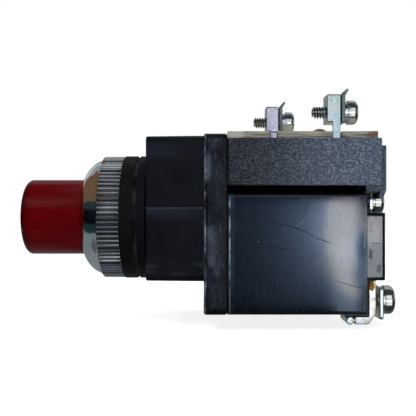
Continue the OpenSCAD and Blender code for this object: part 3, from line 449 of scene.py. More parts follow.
def plain(name, dark, light, dull, haze_size, detail, bump, grain=None, **sockets):
    """A finish that drifts between two tones and two levels of dull, with bumps as its haze or finer."""
    look = Look(name, dark, sum(dull) / 2, **sockets)
    haze = look.cloud(haze_size, detail=detail)
    height = look.cloud(grain, detail=3) if grain else haze
    roughness = look.ramp(haze, 0.3, 0.7, *dull)
    look.base(haze, dark, light)
    return look.done(roughness, (height, bump))


def moulded(name, dark, light):
    """Plain moulded plastic of an inner piece."""
    return plain(name, dark, light, dull=(0.37, 0.55), haze_size=3, detail=5, bump=0.008, grain=0.3)


def metal(name, dark, light, gloss=0.3, grain=(1, 1, 1)):
    """Plain metal of an inner piece or a thread, with the drawing marks along its grain."""
    look = Look(name, dark, gloss, Metallic=1.0)
    haze = look.cloud(2.5, detail=5)
    marks = look.cloud(0.25, detail=4, stretch=grain)
    look.base(haze, dark, light)
    dull = look.ramp(marks, 0.3, 0.7, gloss - 0.08, gloss + 0.12)
    return look.done(dull, (marks, 0.008))


def winding(name, dark, light):
    """Enamelled wire laid in turns round the bobbin."""
    look = Look(name, dark, 0.3, Metallic=0.8)
    node = look.add("TexWave", Vector=look.place, Scale=0.9)
    node.bands_direction = "Z"
    turns = node.outputs["Fac"]
    haze = look.cloud(2, detail=4)
    look.base(look.both(turns, haze), dark, light)
    dull = look.ramp(haze, 0.3, 0.7, 0.24, 0.4)
    return look.done(dull, (turns, 0.12))


def amber():
    """Bead of flux left by soldering."""
    look = Look("amber_flux", (196, 120, 30), 0.12, Transmission_Weight=0.45, IOR=1.52)
    haze = look.cloud(0.6, detail=4)
    look.base(look.ramp(haze, 0.4, 0.6), (156, 82, 14), (246, 190, 90))
    dull = look.ramp(haze, 0.3, 0.7, 0.08, 0.22)
    return look.done(dull, (haze, 0.05))


def score(name, dark, light):
    """Raw bottom of a scratch."""
    return plain(name, dark, light, dull=(0.5, 0.7), haze_size=0.6, detail=3, bump=0.01)


BODY_BLACK = smooth_black()
PLATE_BLACK = scuffed_black()
CASE_BLACK = gloss_black("gloss_black_case", front_edge=23.3)
COVER_BLACK = gloss_black("gloss_black_cover", smears=0.22)
# Painted shade deep in the groove under the contact housing: the case's top there is coloured near black
GROOVE_SURFACE = {"dull": (0.75, 0.95), "haze_size": 4, "detail": 4, "bump": 0.02}
GROOVE_SHADE = plain("groove_shade", (3, 3, 4), (6, 6, 8), **GROOVE_SURFACE, Specular_IOR_Level=0.03)
HOUSING_BLACK = grained_black()
GASKET_RUBBER = rubber("gasket_rubber", (7, 8, 10), (14, 15, 19), edge=-4.1)
SPACER_BLACK = rubber("spacer_moulding", (7, 8, 11), (15, 16, 21), edge=-3.5)
LENS_RED = clear_red()
CHROME = chrome(ridge_top=19.0, ridges=(-14.6, -8.0))
SCREW_ZINC = zinc("screw_zinc", (206, 212, 216), (222, 224, 216))
FRONT_POST_ZINC = zinc("front_post_zinc", (206, 204, 222), (220, 216, 220), stamp=(39.6, 35.2))
REAR_POST_ZINC = zinc("rear_post_zinc", (190, 205, 199), (210, 213, 206), stamp=(55.0, 34.4))
# The upper supply washers get painted shade above this level
WASHER_ZINC = zinc("washer_zinc", (206, 212, 216), (222, 224, 216), gloss=0.18, shade_above=-8)
CLAMP_ZINC = zinc("clamp_zinc", (104, 114, 114), (138, 144, 140), gloss=0.2)
TIN = tinned()
FIBRE = fibre()
DARK_MOULDING = moulded("sleeve_moulding", (34, 36, 41), (46, 48, 53))
CREAM_MOULDING = moulded("cream_moulding", (206, 198, 172), (222, 216, 196))
BROWN_MOULDING = moulded("brown_moulding", (42, 30, 22), (58, 42, 32))
LEAD_RED = moulded("lead_insulation", (150, 34, 26), (178, 46, 36))
# The thread's root is a darker copy of the crest's metal: painted shade in the hollows of the thread
THREAD_ROOT_SHADE = metal("thread_root_shade", (26, 31, 31), (46, 52, 50), gloss=0.4)
THREAD_CREST = metal("thread_crest", (74, 84, 80), (112, 120, 114), gloss=0.24)
SPRING_STEEL = metal("spring_steel", (150, 155, 160), (180, 184, 187))
BRASS = metal("brass", (178, 142, 76), (204, 170, 104))
CORE_STEEL = metal("core_steel", (92, 96, 101), (124, 128, 132), gloss=0.4, grain=(9, 0.5, 9))
PRIMARY_COPPER = winding("primary_copper", (124, 54, 24), (176, 88, 44))
SECONDARY_COPPER = winding("secondary_copper", (142, 70, 30), (196, 108, 58))
FROST = {"dull": (0.28, 0.44), "haze_size": 2, "detail": 4, "bump": 0.01, "grain": 0.3}
CLEAR = {"Transmission_Weight": 0.8, "IOR": 1.5}
LAMP_GLASS = plain("frosted_lamp_glass", (216, 218, 216), (236, 238, 236), **FROST, **CLEAR)
FLUX = amber()
SCORE = score("dark_scratch", (6, 7, 9), (26, 28, 33))
PALE_SCORE = score("pale_scratch", (70, 78, 92), (120, 128, 140))

FINISH_NODES = (
    (BODY_BLACK, "operator_body"),
    (CHROME, "bezel_nut"),
    (GASKET_RUBBER, "panel_gasket", "sleeve_seal"),
    (SPACER_BLACK, "spacer_ring"),
    (LENS_RED, "lens"),
    (DARK_MOULDING, "button_sleeve"),
    (CREAM_MOULDING, "push_rod", "coil_bobbin", "contact_plunger"),
    (SPRING_STEEL, "return_spring", "contact_spring", "plunger_spring"),
    (BROWN_MOULDING, "lamp_holder"),
    (BRASS, "lamp_socket", "lamp_contact", "lamp_cap", "contact_bridge"),
    (LAMP_GLASS, "lamp_glass"),
    (PLATE_BLACK, "adapter_plate"),
    (SCREW_ZINC, "assembly_screws", "block_screws", "supply_screws", "terminal_screws"),
    (SCREW_ZINC, "terminal_lock_washers"),
    (CASE_BLACK, "transformer_case"),
    (COVER_BLACK, "rear_cover"),
    (CORE_STEEL, "transformer_core"),
    (PRIMARY_COPPER, "primary_winding"),
    (SECONDARY_COPPER, "secondary_winding"),
    (LEAD_RED, "lamp_leads", "supply_leads"),
    (TIN, "upper_terminal", "lower_terminal"),
    (WASHER_ZINC, "supply_washers", "supply_lock_washers"),
    (HOUSING_BLACK, "contact_housing"),
    (FIBRE, "fibre_cover"),
    (FRONT_POST_ZINC, "front_terminal"),
    (REAR_POST_ZINC, "rear_terminal"),
    (CLAMP_ZINC, "terminal_clamps"),
)
NODE_FINISHES = {node: finish for finish, *group in FINISH_NODES for node in group}

for node_name, finish_material in NODE_FINISHES.items():
    for material_slot in nodes[node_name].material_slots:
        material_slot.material = finish_material

# Pieces


def new_object(name, bm, finish):
    """An object in the scene with this mesh and finish. The mesh is in metres."""
    mesh = bpy.data.meshes.new(name)
    bm.to_mesh(mesh)
    bm.free()
    mesh.materials.append(finish)
    piece = bpy.data.objects.new(name, mesh)
    bpy.context.scene.collection.objects.link(piece)
    return piece


def finished(name, bm, finish, body, replaced=(), smooth_angle=35):
    """A piece in millimetres becomes an object in the frame, on its body."""
    bmesh.ops.recalc_face_normals(bm, faces=bm.faces)
    bmesh.ops.scale(bm, vec=(MM, MM, MM), verts=bm.verts)
    return placed(name, bm, finish, body, replaced, smooth_angle)


def placed(name, bm, finish, body, replaced=(), smooth_angle=35):
    """A piece in metres becomes an object on its body. Edges that turn past smooth_angle stay sharp."""
    for face in bm.faces:
        face.smooth = True
    limit = math.radians(smooth_angle)
    for edge in bm.edges:
        edge.smooth = len(edge.link_faces) == 2 and edge.calc_face_angle(0) < limit
    piece = new_object(name, bm, finish)
    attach(piece, body)
    if replaced:
        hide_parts(*replaced)
    return piece


SAME_POINT = 0.002 * MM
FLAT_ENOUGH = math.radians(0.4)


def merged_copy(node):
    """A copy of a CAD node's mesh with its loose triangles joined into flat faces."""
    bm = bmesh.new()
    bm.from_mesh(nodes[node].data)
    bmesh.ops.remove_doubles(bm, verts=bm.verts, dist=SAME_POINT)
    bmesh.ops.dissolve_limit(bm, angle_limit=FLAT_ENOUGH, verts=bm.verts, edges=bm.edges)
    return bm


def flat_faces_stay_flat(piece):
    """The large faces keep their own shading, so that only the rounded edges bend it."""
    flat = piece.modifiers.new("flat_faces", "WEIGHTED_NORMAL")
    flat.keep_sharp = True
    flat.weight = 100


def round_over(bm, edges, width, segments, clamp):
    """Rounds these edges over by width. clamp makes all of them smaller where any two would meet."""
    bmesh.ops.bevel(
        bm,
        geom=edges,
        offset=width,
        offset_type="OFFSET",
        segments=segments,
        profile=0.5,
        affect="EDGES",
        clamp_overlap=clamp,
        material=-1,
    )


SHARP_TURN = math.radians(40)
TINY_EDGE = 0.04 * MM
SEAT_REACH = 0.1
ROUNDED_TURN = 50


def softened(node, width, segments=3, above=None, seat=None):
    """A CAD node with its sharp edges rounded over, as a mould or a tumbled blank leaves them.

    An edge that meets a tiny one stays sharp, because its rounding would run out to a spike there.
    above is a level and the finish of the faces over it. seat is a level along X where the piece lies
    against the next one: edges on it stay sharp, and the shading is split there.
    """
    bm = merged_copy(node)

    def rounds(edge):
        if len(edge.link_faces) != 2 or edge.calc_face_angle(0) < SHARP_TURN:
            return False
        if seat and min(corner.co.x for corner in edge.verts) > (seat - SEAT_REACH) * MM:
            return False
        return all(met.calc_length() > TINY_EDGE for corner in edge.verts for met in corner.link_edges)

    round_over(bm, [edge for edge in bm.edges if rounds(edge)], width * MM, segments, clamp=False)
    if above:
        for face in bm.faces:
            face.material_index = 1 if face.calc_center_median().z > above[0] * MM else 0
    piece = placed(node + "_softened", bm, NODE_FINISHES[node], "unit", (node,), ROUNDED_TURN)
    if above:
        piece.data.materials.append(above[1])
    if seat:
        points = piece.data.vertices
        for edge in piece.data.edges:
            if max(points[corner].co.x for corner in edge.vertices) > (seat - SEAT_REACH) * MM:
                edge.use_edge_sharp = True
    flat_faces_stay_flat(piece)


# The case's faces over this level take the groove's painted shade
softened("transformer_case", 0.22, above=(6.6, GROOVE_SHADE))
softened("rear_cover", 0.3)
softened("adapter_plate", 0.5)
softened("operator_body", 0.4, seat=16.6)
softened("contact_housing", 0.35)
softened("fibre_cover", 0.12, segments=2)
softened("front_terminal", 0.14)
softened("rear_terminal", 0.14)
softened("terminal_clamps", 0.2)
softened("upper_terminal", 0.35)
softened("lower_terminal", 0.35)
softened("supply_washers", 0.3)


def spun(bm, outline, centre, turns, steps, rise=0.0, closed=False):
    """An outline turned about X, rising along it. Returns the last outline."""
    return bmesh.ops.spin(
        bm,
        geom=outline,
        cent=centre,
        axis=(1, 0, 0),
        dvec=(rise / steps, 0, 0),
        angle=math.tau * turns,
        steps=steps,
        use_merge=closed,
    )["geom_last"]


def points_of(elements):
    """The vertices among what an operator returns."""
    return [element for element in elements if isinstance(element, bmesh.types.BMVert)]


def ridged_bezel():
    """The bezel nut turned from its section, with the flat-topped ridges of its rim."""
    lip_x, rim_x, rear_x = -20.6, -14.8, -7.8
    bores = ((-19.3, 12.2), (-17.9, 12.85), (rear_x, 15.1))
    dome_r, dome_bulge, dome_steps = 18.0, 1.1, 14
    shoulder_r, top_r, valley_r, ridges, corners_per_ridge = 18.15, 19.0, 18.55, 82, 4
    rounding, sharp_turn = 0.07, math.radians(35)
    section = []
    for (front, radius), start in zip(bores, (lip_x, bores[0][0], bores[1][0])):
        section += [(start, radius), (front, radius)]
    section.reverse()
    lip_r = bores[0][1]
    chord = Vector((rim_x - lip_x, dome_r - lip_r))
    arc_r = (chord.length**2 / 4 + dome_bulge**2) / (2 * dome_bulge)
    inward = Vector((chord.y, -chord.x)).normalized()
    centre = Vector((lip_x, lip_r)) + chord / 2 + (arc_r - dome_bulge) * inward
    begin = math.atan2(lip_r - centre.y, lip_x - centre.x)
    sweep = math.atan2(dome_r - centre.y, rim_x - centre.x) - begin
    for step in range(1, dome_steps + 1):
        angle = begin + sweep * step / dome_steps
        section.append((centre.x + arc_r * math.cos(angle), centre.y + arc_r * math.sin(angle)))
    section += [(rim_x, shoulder_r), (rim_x + 0.25, valley_r - 0.05), (rim_x + 0.35, top_r)]
    section += [(rear_x - 0.3, top_r), (rear_x - 0.15, valley_r - 0.05), (rear_x, valley_r - 0.1)]
    bm = bmesh.new()
    verts = [bm.verts.new((x, 0, radius)) for x, radius in section]
    outline = [bm.edges.new(pair) for pair in zip(verts, verts[1:] + verts[:1])]
    steps = ridges * corners_per_ridge
    spun(bm, verts + outline, (0, 0, 0), 1, steps, closed=True)
    valleys = []
    for vert in bm.verts:
        corner = round(math.atan2(vert.co.y, vert.co.z) / math.tau * steps) % corners_per_ridge
        if vert.co.yz.length > top_r - 0.01 and corner < corners_per_ridge // 2:
            valleys.append(vert)
    bmesh.ops.scale(bm, vec=(1, valley_r / top_r, valley_r / top_r), verts=valleys)
    bmesh.ops.recalc_face_normals(bm, faces=bm.faces)
    sharp = [edge for edge in bm.edges if edge.calc_face_angle(0) > sharp_turn]
    round_over(bm, sharp, rounding, 2, clamp=True)
    piece = finished("bezel_nut_ridged", bm, CHROME, "unit", ("bezel_nut",), ROUNDED_TURN)
    flat_faces_stay_flat(piece)


ridged_bezel()


def threaded_screws(node, axes, thread_d, pitch, start, end):
    """The node's screws with a thread cut from start to end, along each screw from its axis point.

    The shank shrinks to a share of its radius, root, and the thread's foot is sunk into it.
    """
    root, sunk = 0.7, 0.06
    radius_slack, end_slack = 0.02, 0.2
    half_foot, half_crest = 0.42, 0.15
    turns = round((end - start) / pitch)
    steps_per_turn = 28
    low, high = thread_d / 2 * root - sunk, thread_d / 2
    profile = ((-half_foot, low), (-half_crest, high), (half_crest, high), (half_foot, low))
    bm = merged_copy(node)
    bmesh.ops.scale(bm, vec=(1 / MM, 1 / MM, 1 / MM), verts=bm.verts)
    for centre in axes:
        middle = Vector(centre)
        shank = []
        for vert in bm.verts:
            reach = vert.co - middle
            if reach.yz.length < thread_d / 2 + radius_slack and reach.x < end + end_slack:
                shank.append(vert)
        bmesh.ops.scale(bm, vec=(1, root, root), space=Matrix.Translation(-middle), verts=shank)
        shank_verts = set(shank)
        known = set(bm.verts)
        for face in bm.faces:
            if shank_verts.issuperset(face.verts):
                face.material_index = 1
        corners = []
        for along, radius in profile:
            corners.append(bm.verts.new(middle + Vector((start + along * pitch, 0, radius))))
        cap = bm.faces.new(corners)
        outline = corners + list(cap.edges)
        last = spun(bm, outline, middle, turns, steps_per_turn * turns, rise=pitch * turns)
        bm.faces.new(points_of(last))
        for face in bm.faces:
            if not known.issuperset(face.verts):
                face.material_index = 2
    piece = finished(node + "_threaded", bm, NODE_FINISHES[node], "unit", (node,))
    piece.data.materials.append(THREAD_ROOT_SHADE)
    piece.data.materials.append(THREAD_CREST)


def flux_bead():
    """A drop of flux on the near edge of the lower supply bar."""
    half_sizes, place = (0.95, 0.75, 1.6), (67.2, -10.4, -20.7)
    top_heavy, lumps = 0.3, 0.1
    bm = bmesh.new()
    bmesh.ops.create_icosphere(bm, subdivisions=3, radius=1)
    for vert in bm.verts:
        swell = 1 + top_heavy * vert.co.z + lumps * math.sin(4.1 * vert.co.x + 2.3 * vert.co.z)
        vert.co.x *= swell
        vert.co.y *= swell
    bmesh.ops.scale(bm, vec=half_sizes, verts=bm.verts)
    bmesh.ops.translate(bm, vec=place, verts=bm.verts)
    finished("flux_bead", bm, FLUX, "unit", smooth_angle=60)


def fibre_flake():
    """A layer of the fibre cover that lifts along its near edge."""
    length, width, thickness, place = 3.6, 2.2, 0.18, (50.4, -15.35, 25.36)
    rise, hinge_y = 0.62, 0.6
    bm = bmesh.new()
    bmesh.ops.create_grid(bm, x_segments=10, y_segments=5, size=0.5)
    bmesh.ops.scale(bm, vec=(length, width, 1), verts=bm.verts)
    for vert in bm.verts:
        lift = max(0.0, (hinge_y - vert.co.y) / (width / 2 + hinge_y))
        arch = math.cos(math.pi * vert.co.x / length)
        vert.co.z = rise * lift**1.4 * arch**0.6 if arch > 0.001 else 0.0
    bmesh.ops.solidify(bm, geom=bm.faces, thickness=thickness)
    bmesh.ops.translate(bm, vec=place, verts=bm.verts)
    finished("fibre_flake", bm, FIBRE, "unit")


def scratch_lines(name, face_y, paths, finish):
    """Hairline scores on a face that looks towards -Y. Each path is (width, points of x and z)."""
    proud, thickness = 0.012, 0.03
    bm = bmesh.new()
    for width, points in paths:
        verts = [bm.verts.new((x, face_y, z)) for x, z in points]
        edges = [bm.edges.new(pair) for pair in zip(verts, verts[1:])]
        start, run = verts[0].co.copy(), verts[-1].co - verts[0].co
        across = Vector((-run.z, 0, run.x)).normalized()
        bmesh.ops.subdivide_edges(bm, edges=edges, cuts=5, smooth=1.0)
        chain = [edge for edge in bm.edges if not edge.link_faces]
        strip = bmesh.ops.extrude_edge_only(bm, edges=chain)["geom"]
        for vert in points_of(strip):
            along = (vert.co - start).dot(run) / run.length_squared
            taper = 1.6 * max(0.0, abs(2 * along - 1) - 0.5)
            vert.co += across * width * (1 - taper)
    bm.normal_update()
    bmesh.ops.reverse_faces(bm, faces=[face for face in bm.faces if face.normal.y > 0])
    bm.normal_update()
    bmesh.ops.solidify(bm, geom=bm.faces, thickness=thickness)
    top = min(vert.co.y for vert in bm.verts)
    bmesh.ops.translate(bm, vec=(0, face_y - proud - top, 0), verts=bm.verts)
    finished(name, bm, finish, "unit")


TERMINAL_SCREW_AXES = ((39.1, 11.6, 31.36), (54.9, -11.6, 31.36))
threaded_screws(
    "terminal_screws", TERMINAL_SCREW_AXES, thread_d=3.5, pitch=0.8, start=-5.4, end=-1.4
)
flux_bead()
fibre_flake()
LONG_SCRATCH = (
    (32.7, -0.4), (35.8, -1.3), (38.6, -2.0), (41.4, -2.5),
    (43.4, -3.2), (45.9, -4.2), (48.1, -5.5),
)
CASE_SCRATCHES = (
    (0.24, LONG_SCRATCH),
    (0.2, ((48.1, -5.4), (50.4, -6.5), (53.2, -7.3))),
    (0.18, ((30.2, -6.7), (33.0, -7.4), (36.4, -8.2), (39.7, -8.9), (43.4, -10.0))),
    (0.16, ((45.2, 0.1), (45.8, 2.4), (46.0, 4.9))),
    (0.16, ((53.2, -17.5), (55.4, -18.3), (58.2, -19.2), (61.0, -19.9), (62.8, -20.0))),
    (0.16, ((38.3, 3.6), (39.2, 3.1), (40.1, 3.0))),
)
CASE_SIDE_Y, BARRIER_SIDE_Y = -21.3, -18.6
scratch_lines("case_scratches", CASE_SIDE_Y, CASE_SCRATCHES, SCORE)
PALE_SCRATCHES = (
    (0.13, ((43.1, -2.4), (44.8, -1.0), (46.5, -0.1), (50.4, 2.5))),
    (0.12, ((43.9, -1.8), (48.1, 1.3))),
    (0.14, ((31.9, -6.6), (32.5, -7.2))),
)
scratch_lines("pale_scratches", CASE_SIDE_Y, PALE_SCRATCHES, PALE_SCORE)

ROUND_WIRE_TURN = 60


def coil(node, radius, wire, turns, start, end, centre):
    """A spring about X with closed ends."""
    sides, steps_per_turn = 10, 28
    bm = bmesh.new()
    ring = bmesh.ops.create_circle(bm, cap_ends=False, segments=sides, radius=wire / 2)["verts"]
    bmesh.ops.translate(bm, vec=(start + wire / 2, radius, 0), verts=ring)
    front = bm.faces.new(ring)
    outline = ring + list(front.edges)
    rise = end - start - wire
    for part_turns, part_rise in ((1, wire / 2), (turns - 2, rise - wire), (1, wire / 2)):
        steps = round(part_turns * steps_per_turn)
        outline = spun(bm, outline, (0, 0, 0), part_turns, steps, part_rise)
    bm.faces.new(points_of(outline))
    bmesh.ops.translate(bm, vec=centre, verts=bm.verts)
    piece = finished(node + "_coil", bm, SPRING_STEEL, "unit", (node,), ROUND_WIRE_TURN)
    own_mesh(piece)


coil("return_spring", 11.45, wire=0.9, turns=3.2, start=7.85, end=16.55, centre=(0, 0, 0))
coil("plunger_spring", 3.0, wire=0.6, turns=8, start=48.65, end=65.45, centre=(0, 0, 16.1))
BARRIER_SCRATCHES = ((0.14, ((64.3, -7.2), (66.5, -7.5), (68.2, -7.4))),)
scratch_lines("barrier_scratch", BARRIER_SIDE_Y, BARRIER_SCRATCHES, SCORE)

# Studio

ACROSS_X, ACROSS_Y, ACROSS_Z = range(3)


def stage_piece(name, bm, finish):
    """A piece of the studio, which isn't part of the object. Its mesh is in metres."""
    piece = new_object(name, bm, finish)
    return piece


def glowing(name, colour, strength=1.0):
    """A plain glow: its material, with the glow and the output node for those that build on it."""
    material = bpy.data.materials.new(name)
    material.use_nodes = True
    tree = material.node_tree
    tree.nodes.clear()
    glow = fed_node(tree, "Emission", colour, strength).outputs["Emission"]
    return material, glow, fed_node(tree, "OutputMaterial", glow)


def sheet(corners):
    """One flat face through these corners."""
    bm = bmesh.new()
    bm.faces.new([bm.verts.new(corner) for corner in corners])
    return bm


def square_to(axis, level, low, high):
    """The corners of a sheet square to an axis, from its low to its high corner along the other two."""
    corners = [[low[0], low[1]], [high[0], low[1]], [high[0], high[1]], [low[0], high[1]]]
    for corner in corners:
        corner.insert(axis, level)
    return corners


def card(name, corners, colour, strength=1.0):
    """A flat card through these corners that only the object's reflections see."""
    glow = glowing(name, (*colour, 1), strength)[0]
    only_in_reflections(stage_piece(name, sheet(corners), glow))


def only_in_reflections(piece):
    """The piece lights nothing and the camera doesn't see it."""
    piece.visible_camera = False
    piece.visible_diffuse = False
    piece.visible_transmission = False
    piece.visible_shadow = False


def front_wall(y, low, high, base, patches):
    """The dark side of the studio behind the camera, with patches of window light on it.

    A patch has its centre and reach along X and Z, its strength, and its tones from the rim inwards.
    """
    material, light, output = glowing("front_wall", (*base, 1))
    tree = material.node_tree
    place = fed_node(tree, "TexCoord").outputs["Object"]
    for centre, reach, strength, tones in patches:
        shift = (-centre[0] / reach[0], -y, -centre[1] / reach[1])
        spread = fed_node(tree, "Mapping", place, Location=shift, Scale=(1 / reach[0], 1, 1 / reach[1]))
        falloff = fed_node(tree, "TexGradient", spread.outputs["Vector"])
        falloff.gradient_type = "SPHERICAL"
        steps = fed_node(tree, "ValToRGB", falloff.outputs["Fac"])
        steps.color_ramp.elements[0].color = (0, 0, 0, 1)
        steps.color_ramp.elements[1].color = (*tones[-1][1], 1)
        steps.color_ramp.elements[1].position = tones[-1][0]
        for position, tone in tones[:-1]:
            steps.color_ramp.elements.new(position).color = (*tone, 1)
        patch = fed_node(tree, "Emission", steps.outputs["Color"], strength)
        light = fed_node(tree, "AddShader", light, patch.outputs["Emission"]).outputs["Shader"]
    tree.links.new(light, output.inputs["Surface"])
    corners = square_to(ACROSS_Y, y, low, high)
    only_in_reflections(stage_piece("front_wall", sheet(corners), material))


def seen_directly(tree):
    """1 for the rays of the camera, and for those that metal and glass send on."""
    rays = fed_node(tree, "LightPath").outputs
    amount = rays["Is Camera Ray"]
    for ray in ("Is Glossy Ray", "Is Transmission Ray"):
        larger = fed_node(tree, "Math", amount, rays[ray])
        larger.operation = "MAXIMUM"
        amount = larger.outputs["Value"]
    return amount


def pale_floor():
    """White for the camera, with the object's soft shadow left in it."""
    white, grey = (1, 1, 1, 1), (0.85, 0.85, 0.85, 1)
    glow_share, glow_strength = 0.55, 1.53
    material, glow, output = glowing("pale_floor", white, glow_strength)
    tree = material.node_tree
    paint = fed_node(tree, "BsdfDiffuse", grey).outputs["BSDF"]
    amount = fed_node(tree, "Math", seen_directly(tree), glow_share)
    amount.operation = "MULTIPLY"
    mixer = fed_node(tree, "MixShader", amount.outputs["Value"], paint, glow)
    tree.links.new(mixer.outputs["Shader"], output.inputs["Surface"])
    return material


def studio_world():
    """White where the camera, metal and glass look past the object, and a plain soft fill elsewhere."""
    fill_colour, fill_strength = (0.92, 0.96, 1.0, 1), 0.45
    world = bpy.data.worlds.new("studio")
    bpy.context.scene.world = world
    world.use_nodes = True
    tree = world.node_tree
    tree.nodes.clear()
    white = fed_node(tree, "Background", (1, 1, 1, 1), 1.0).outputs["Background"]
    fill = fed_node(tree, "Background", fill_colour, fill_strength).outputs["Background"]
    mixer = fed_node(tree, "MixShader", seen_directly(tree), fill, white)
    fed_node(tree, "OutputWorld", mixer.outputs["Shader"])


OBJECT_MIDDLE = Vector((0.017, 0, 0))


def softbox(name, place, size, power):
    """A round lamp that looks at the middle of the object and doesn't show in its reflections."""
    light = bpy.data.lights.new(name, "AREA")
    light.shape = "DISK"
    light.size = size
    light.energy = power
    lamp = bpy.data.objects.new(name, light)
    bpy.context.scene.collection.objects.link(lamp)
    lamp.location = place
    lamp.rotation_euler = (OBJECT_MIDDLE - Vector(place)).to_track_quat("-Z", "Y").to_euler()
    lamp.visible_glossy = False


floor_level = cad_low.z - 0.1 * MM
floor_sheet = bmesh.new()
bmesh.ops.create_grid(floor_sheet, x_segments=1, y_segments=1, size=3)
bmesh.ops.translate(floor_sheet, vec=(0, 0, floor_level), verts=floor_sheet.verts)
floor = stage_piece("floor", floor_sheet, pale_floor())
floor.visible_glossy = False
studio_world()
softbox("key_softbox", (-0.35, -0.6, 0.65), 0.5, 5.5)
softbox("rear_softbox", (0.5, 0.5, 0.6), 0.5, 2.5)

# The room round the object, in metres, as its shiny pieces see it
LEFT, RIGHT, FRONT, REAR, BELOW, ABOVE = -1.3, 1.4, -1.25, 1.3, -0.95, 1.05
DUSK = (
    (0.3, (0.006, 0.009, 0.015)),
    (0.42, (0.018, 0.027, 0.044)),
    (0.5, (0.025, 0.039, 0.065)),
    (0.585, (0.044, 0.067, 0.113)),
    (0.67, (0.08, 0.125, 0.205)),
    (0.755, (0.138, 0.212, 0.34)),
    (0.84, (0.31, 0.45, 0.72)),
    (1.0, (0.4, 0.56, 0.9)),
)
SOFT_BLUE = ((0.25, (0.35, 0.5, 0.7)), (0.6, (0.52, 0.72, 1.0)))
WARM_PANE = ((0.08, (0.9, 0.77, 0.52)), (0.2, (1, 0.86, 0.58)))
FIRM_EDGE = ((0.08, (0.9, 0.9, 0.9)), (0.2, (1, 1, 1)))
front_wall(
    FRONT,
    (LEFT, BELOW),
    (RIGHT, ABOVE),
    (0.03, 0.036, 0.045),
    (
        ((0.33, -0.035), (0.42, 0.46), 8, DUSK),
        ((0.352, -0.045), (0.076, 0.16), 6.2, WARM_PANE),
        ((0.345, -0.17), (0.06, 0.14), 3.5, SOFT_BLUE),
        ((0.24, 0.55), (0.21, 0.45), 0.76, FIRM_EDGE),
    ),
)
# Levels of the cards before the front wall, from the wall towards the object
RIDGE_Y, STRIP_Y, BAY_Y, FRAME_Y, HEAD_Y, PANE_Y = -1.2, -1.11, -1.105, -1.1, -1.095, -1.09
WOOD, GREEN, BLACK = (0.217, 0.125, 0.065), (0.02, 0.045, 0.045), (0.004, 0.004, 0.008)

# Cards across each axis: name, level, low and high corner, colour and strength
CARDS_ACROSS_X = (
    ("left_wall_upper", LEFT, (FRONT, 0), (REAR, ABOVE), (0.55, 0.6, 0.62)),
    ("left_wall_lower", LEFT, (FRONT, BELOW), (REAR, 0), (0.26, 0.3, 0.31)),
    ("right_wall", RIGHT, (FRONT, BELOW), (REAR, ABOVE), (0.02, 0.045, 0.05)),
    ("right_window", RIGHT - 0.01, (-0.3, -0.1), (0.45, 0.6), (0.5, 0.53, 0.55)),
)
CARDS_ACROSS_Y = (
    ("sky_strip", STRIP_Y, (0.3215, -0.4), (0.338, 0.06), (0.1, 0.3, 0.9)),
    ("window_head", FRAME_Y, (0.02, 0.018), (0.334, 0.12), (0.08, 0.14, 0.32)),
    ("window_sill", FRAME_Y, (0.02, -0.6), (0.275, -0.193), (0.01, 0.015, 0.02)),
    ("window_frame", FRAME_Y, (0.336, BELOW), (RIGHT, 0.06), (0.03, 0.05, 0.06)),
    ("barrier_window_upper", PANE_Y, (0.336, -0.066), (0.378, -0.003), (1, 1, 1.04), 9.5),
    ("washer_window", PANE_Y, (0.345, 0.002), (0.363, 0.022), (1, 1, 1), 1.3),
    ("upper_head_window", HEAD_Y, (0.364, -0.1), (0.383, 0.3), (0.45, 0.46, 0.55)),
    ("lower_head_window", PANE_Y, (0.386, BELOW), (0.62, 0.9), (1, 0.99, 0.96), 1.2),
    ("barrier_window_lower", PANE_Y, (0.336, -0.15), (0.378, -0.066), (0.95, 1, 1.1), 6.6),
    ("terminal_window", PANE_Y, (0.338, BELOW), (0.385, -0.151), (1, 0.98, 0.92), 1.24),
    ("ridge_card_upper", RIDGE_Y, (-0.238, 0.14), (-0.166, 0.62), (0.85, 0.87, 0.9)),
    ("ridge_card_lower", RIDGE_Y, (-0.238, -0.62), (-0.166, -0.14), (0.2, 0.23, 0.3)),
    ("rear_wall", REAR, (-0.5, BELOW), (RIGHT, ABOVE), (0.26, 0.28, 0.29)),
    ("rear_wall_upper_left", REAR, (LEFT, 0), (-0.5, ABOVE), (0.62, 0.66, 0.68)),
    ("rear_wall_lower_left", REAR, (LEFT, BELOW), (-0.5, 0), (0.26, 0.3, 0.31)),
    ("wood_card_rear", REAR - 0.01, (-1.0, 0.06), (-0.62, 0.3), WOOD),
    ("green_card_rear", REAR - 0.02, (-1.0, -0.06), (-0.55, 0.06), GREEN),
)
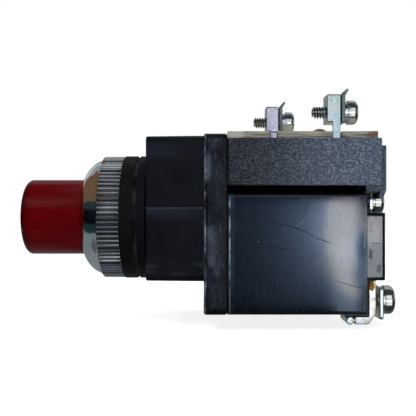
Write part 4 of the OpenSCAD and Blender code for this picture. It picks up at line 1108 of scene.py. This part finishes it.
CARDS_ACROSS_Z = (
    ("ceiling_left", ABOVE, (-0.26, FRONT), (-0.15, 0.15), (0.55, 0.57, 0.58)),
    ("ceiling_front", ABOVE, (-0.15, FRONT), (RIGHT, 0.15), (0.05, 0.055, 0.06)),
    ("ceiling_rear", ABOVE, (LEFT, 0.15), (RIGHT, REAR), (0.42, 0.45, 0.47)),
    ("table_front", BELOW, (-0.14, FRONT), (RIGHT, 0.15), (0.04, 0.045, 0.05)),
    ("table_rear", BELOW, (-0.14, 0.15), (RIGHT, REAR), (0.1, 0.11, 0.12)),
    ("table_left", BELOW, (-0.26, FRONT), (-0.14, REAR), (0.15, 0.16, 0.17)),
    ("table_far_left", BELOW, (LEFT, FRONT), (-0.26, 0.0), (0.14, 0.15, 0.16)),
    ("table_far_left_rear", BELOW, (LEFT, 0.0), (-0.26, REAR), (0.3, 0.33, 0.34)),
    ("wood_card_above", ABOVE - 0.005, (LEFT, FRONT), (-0.26, 0.62), WOOD),
)
ROOM = ((ACROSS_X, CARDS_ACROSS_X), (ACROSS_Y, CARDS_ACROSS_Y), (ACROSS_Z, CARDS_ACROSS_Z))
for card_axis, cards in ROOM:
    for card_name, card_level, card_low, card_high, *card_light in cards:
        card(card_name, square_to(card_axis, card_level, card_low, card_high), *card_light)

# Cards of other outlines: the sky at the window by (x, z), and those on the left by (y, z)
SKY_CORNERS = (
    (0.338, -0.03), (0.338, -0.16), (0.319, -0.16), (0.3115, -0.145), (0.3115, -0.125),
    (0.317, -0.1), (0.3145, -0.082), (0.316, -0.056), (0.324, -0.033),
)
card("sky_bay", [(x, BAY_Y, z) for x, z in SKY_CORNERS], (0, 0.95, 2.5))
WOOD_CORNERS = (
    (-1.2, 0.75), (0.27, 0.23), (1.25, 0.11), (1.25, 0.45),
    (1.0, 0.62), (0.62, ABOVE), (-1.2, ABOVE),
)
GREEN_CORNERS = ((-1.2, -0.75), (0.27, -0.23), (1.25, -0.11), (1.25, 0.11), (0.27, 0.23), (-1.2, 0.75))
BLACK_CORNERS = ((-1.2, -0.3), (0.27, -0.09), (1.25, -0.04), (1.25, 0.05), (0.27, 0.1), (-1.2, 0.32))
LEFT_CARDS = (
    ("wood_card", -1.0, WOOD_CORNERS, WOOD),
    ("black_card", -1.0, BLACK_CORNERS, BLACK),
    ("green_card", -1.01, GREEN_CORNERS, GREEN),
)
for card_name, card_x, card_corners, card_colour in LEFT_CARDS:
    card(card_name, [(card_x, y, z) for y, z in card_corners], card_colour)

CAMERA_PLACE = (17.81 * MM, -201.26 * MM, 2.83 * MM)
camera_data = bpy.data.cameras.new("photo_camera")
camera_data.sensor_width = 36
camera_data.lens = 54.78
camera_data.clip_start = 0.005
camera = bpy.data.objects.new("photo_camera", camera_data)
bpy.context.scene.collection.objects.link(camera)
camera.location = CAMERA_PLACE
camera.rotation_euler = (math.radians(90), 0, 0)
bpy.context.scene.camera = camera
bpy.context.scene.view_settings.view_transform = "Standard"
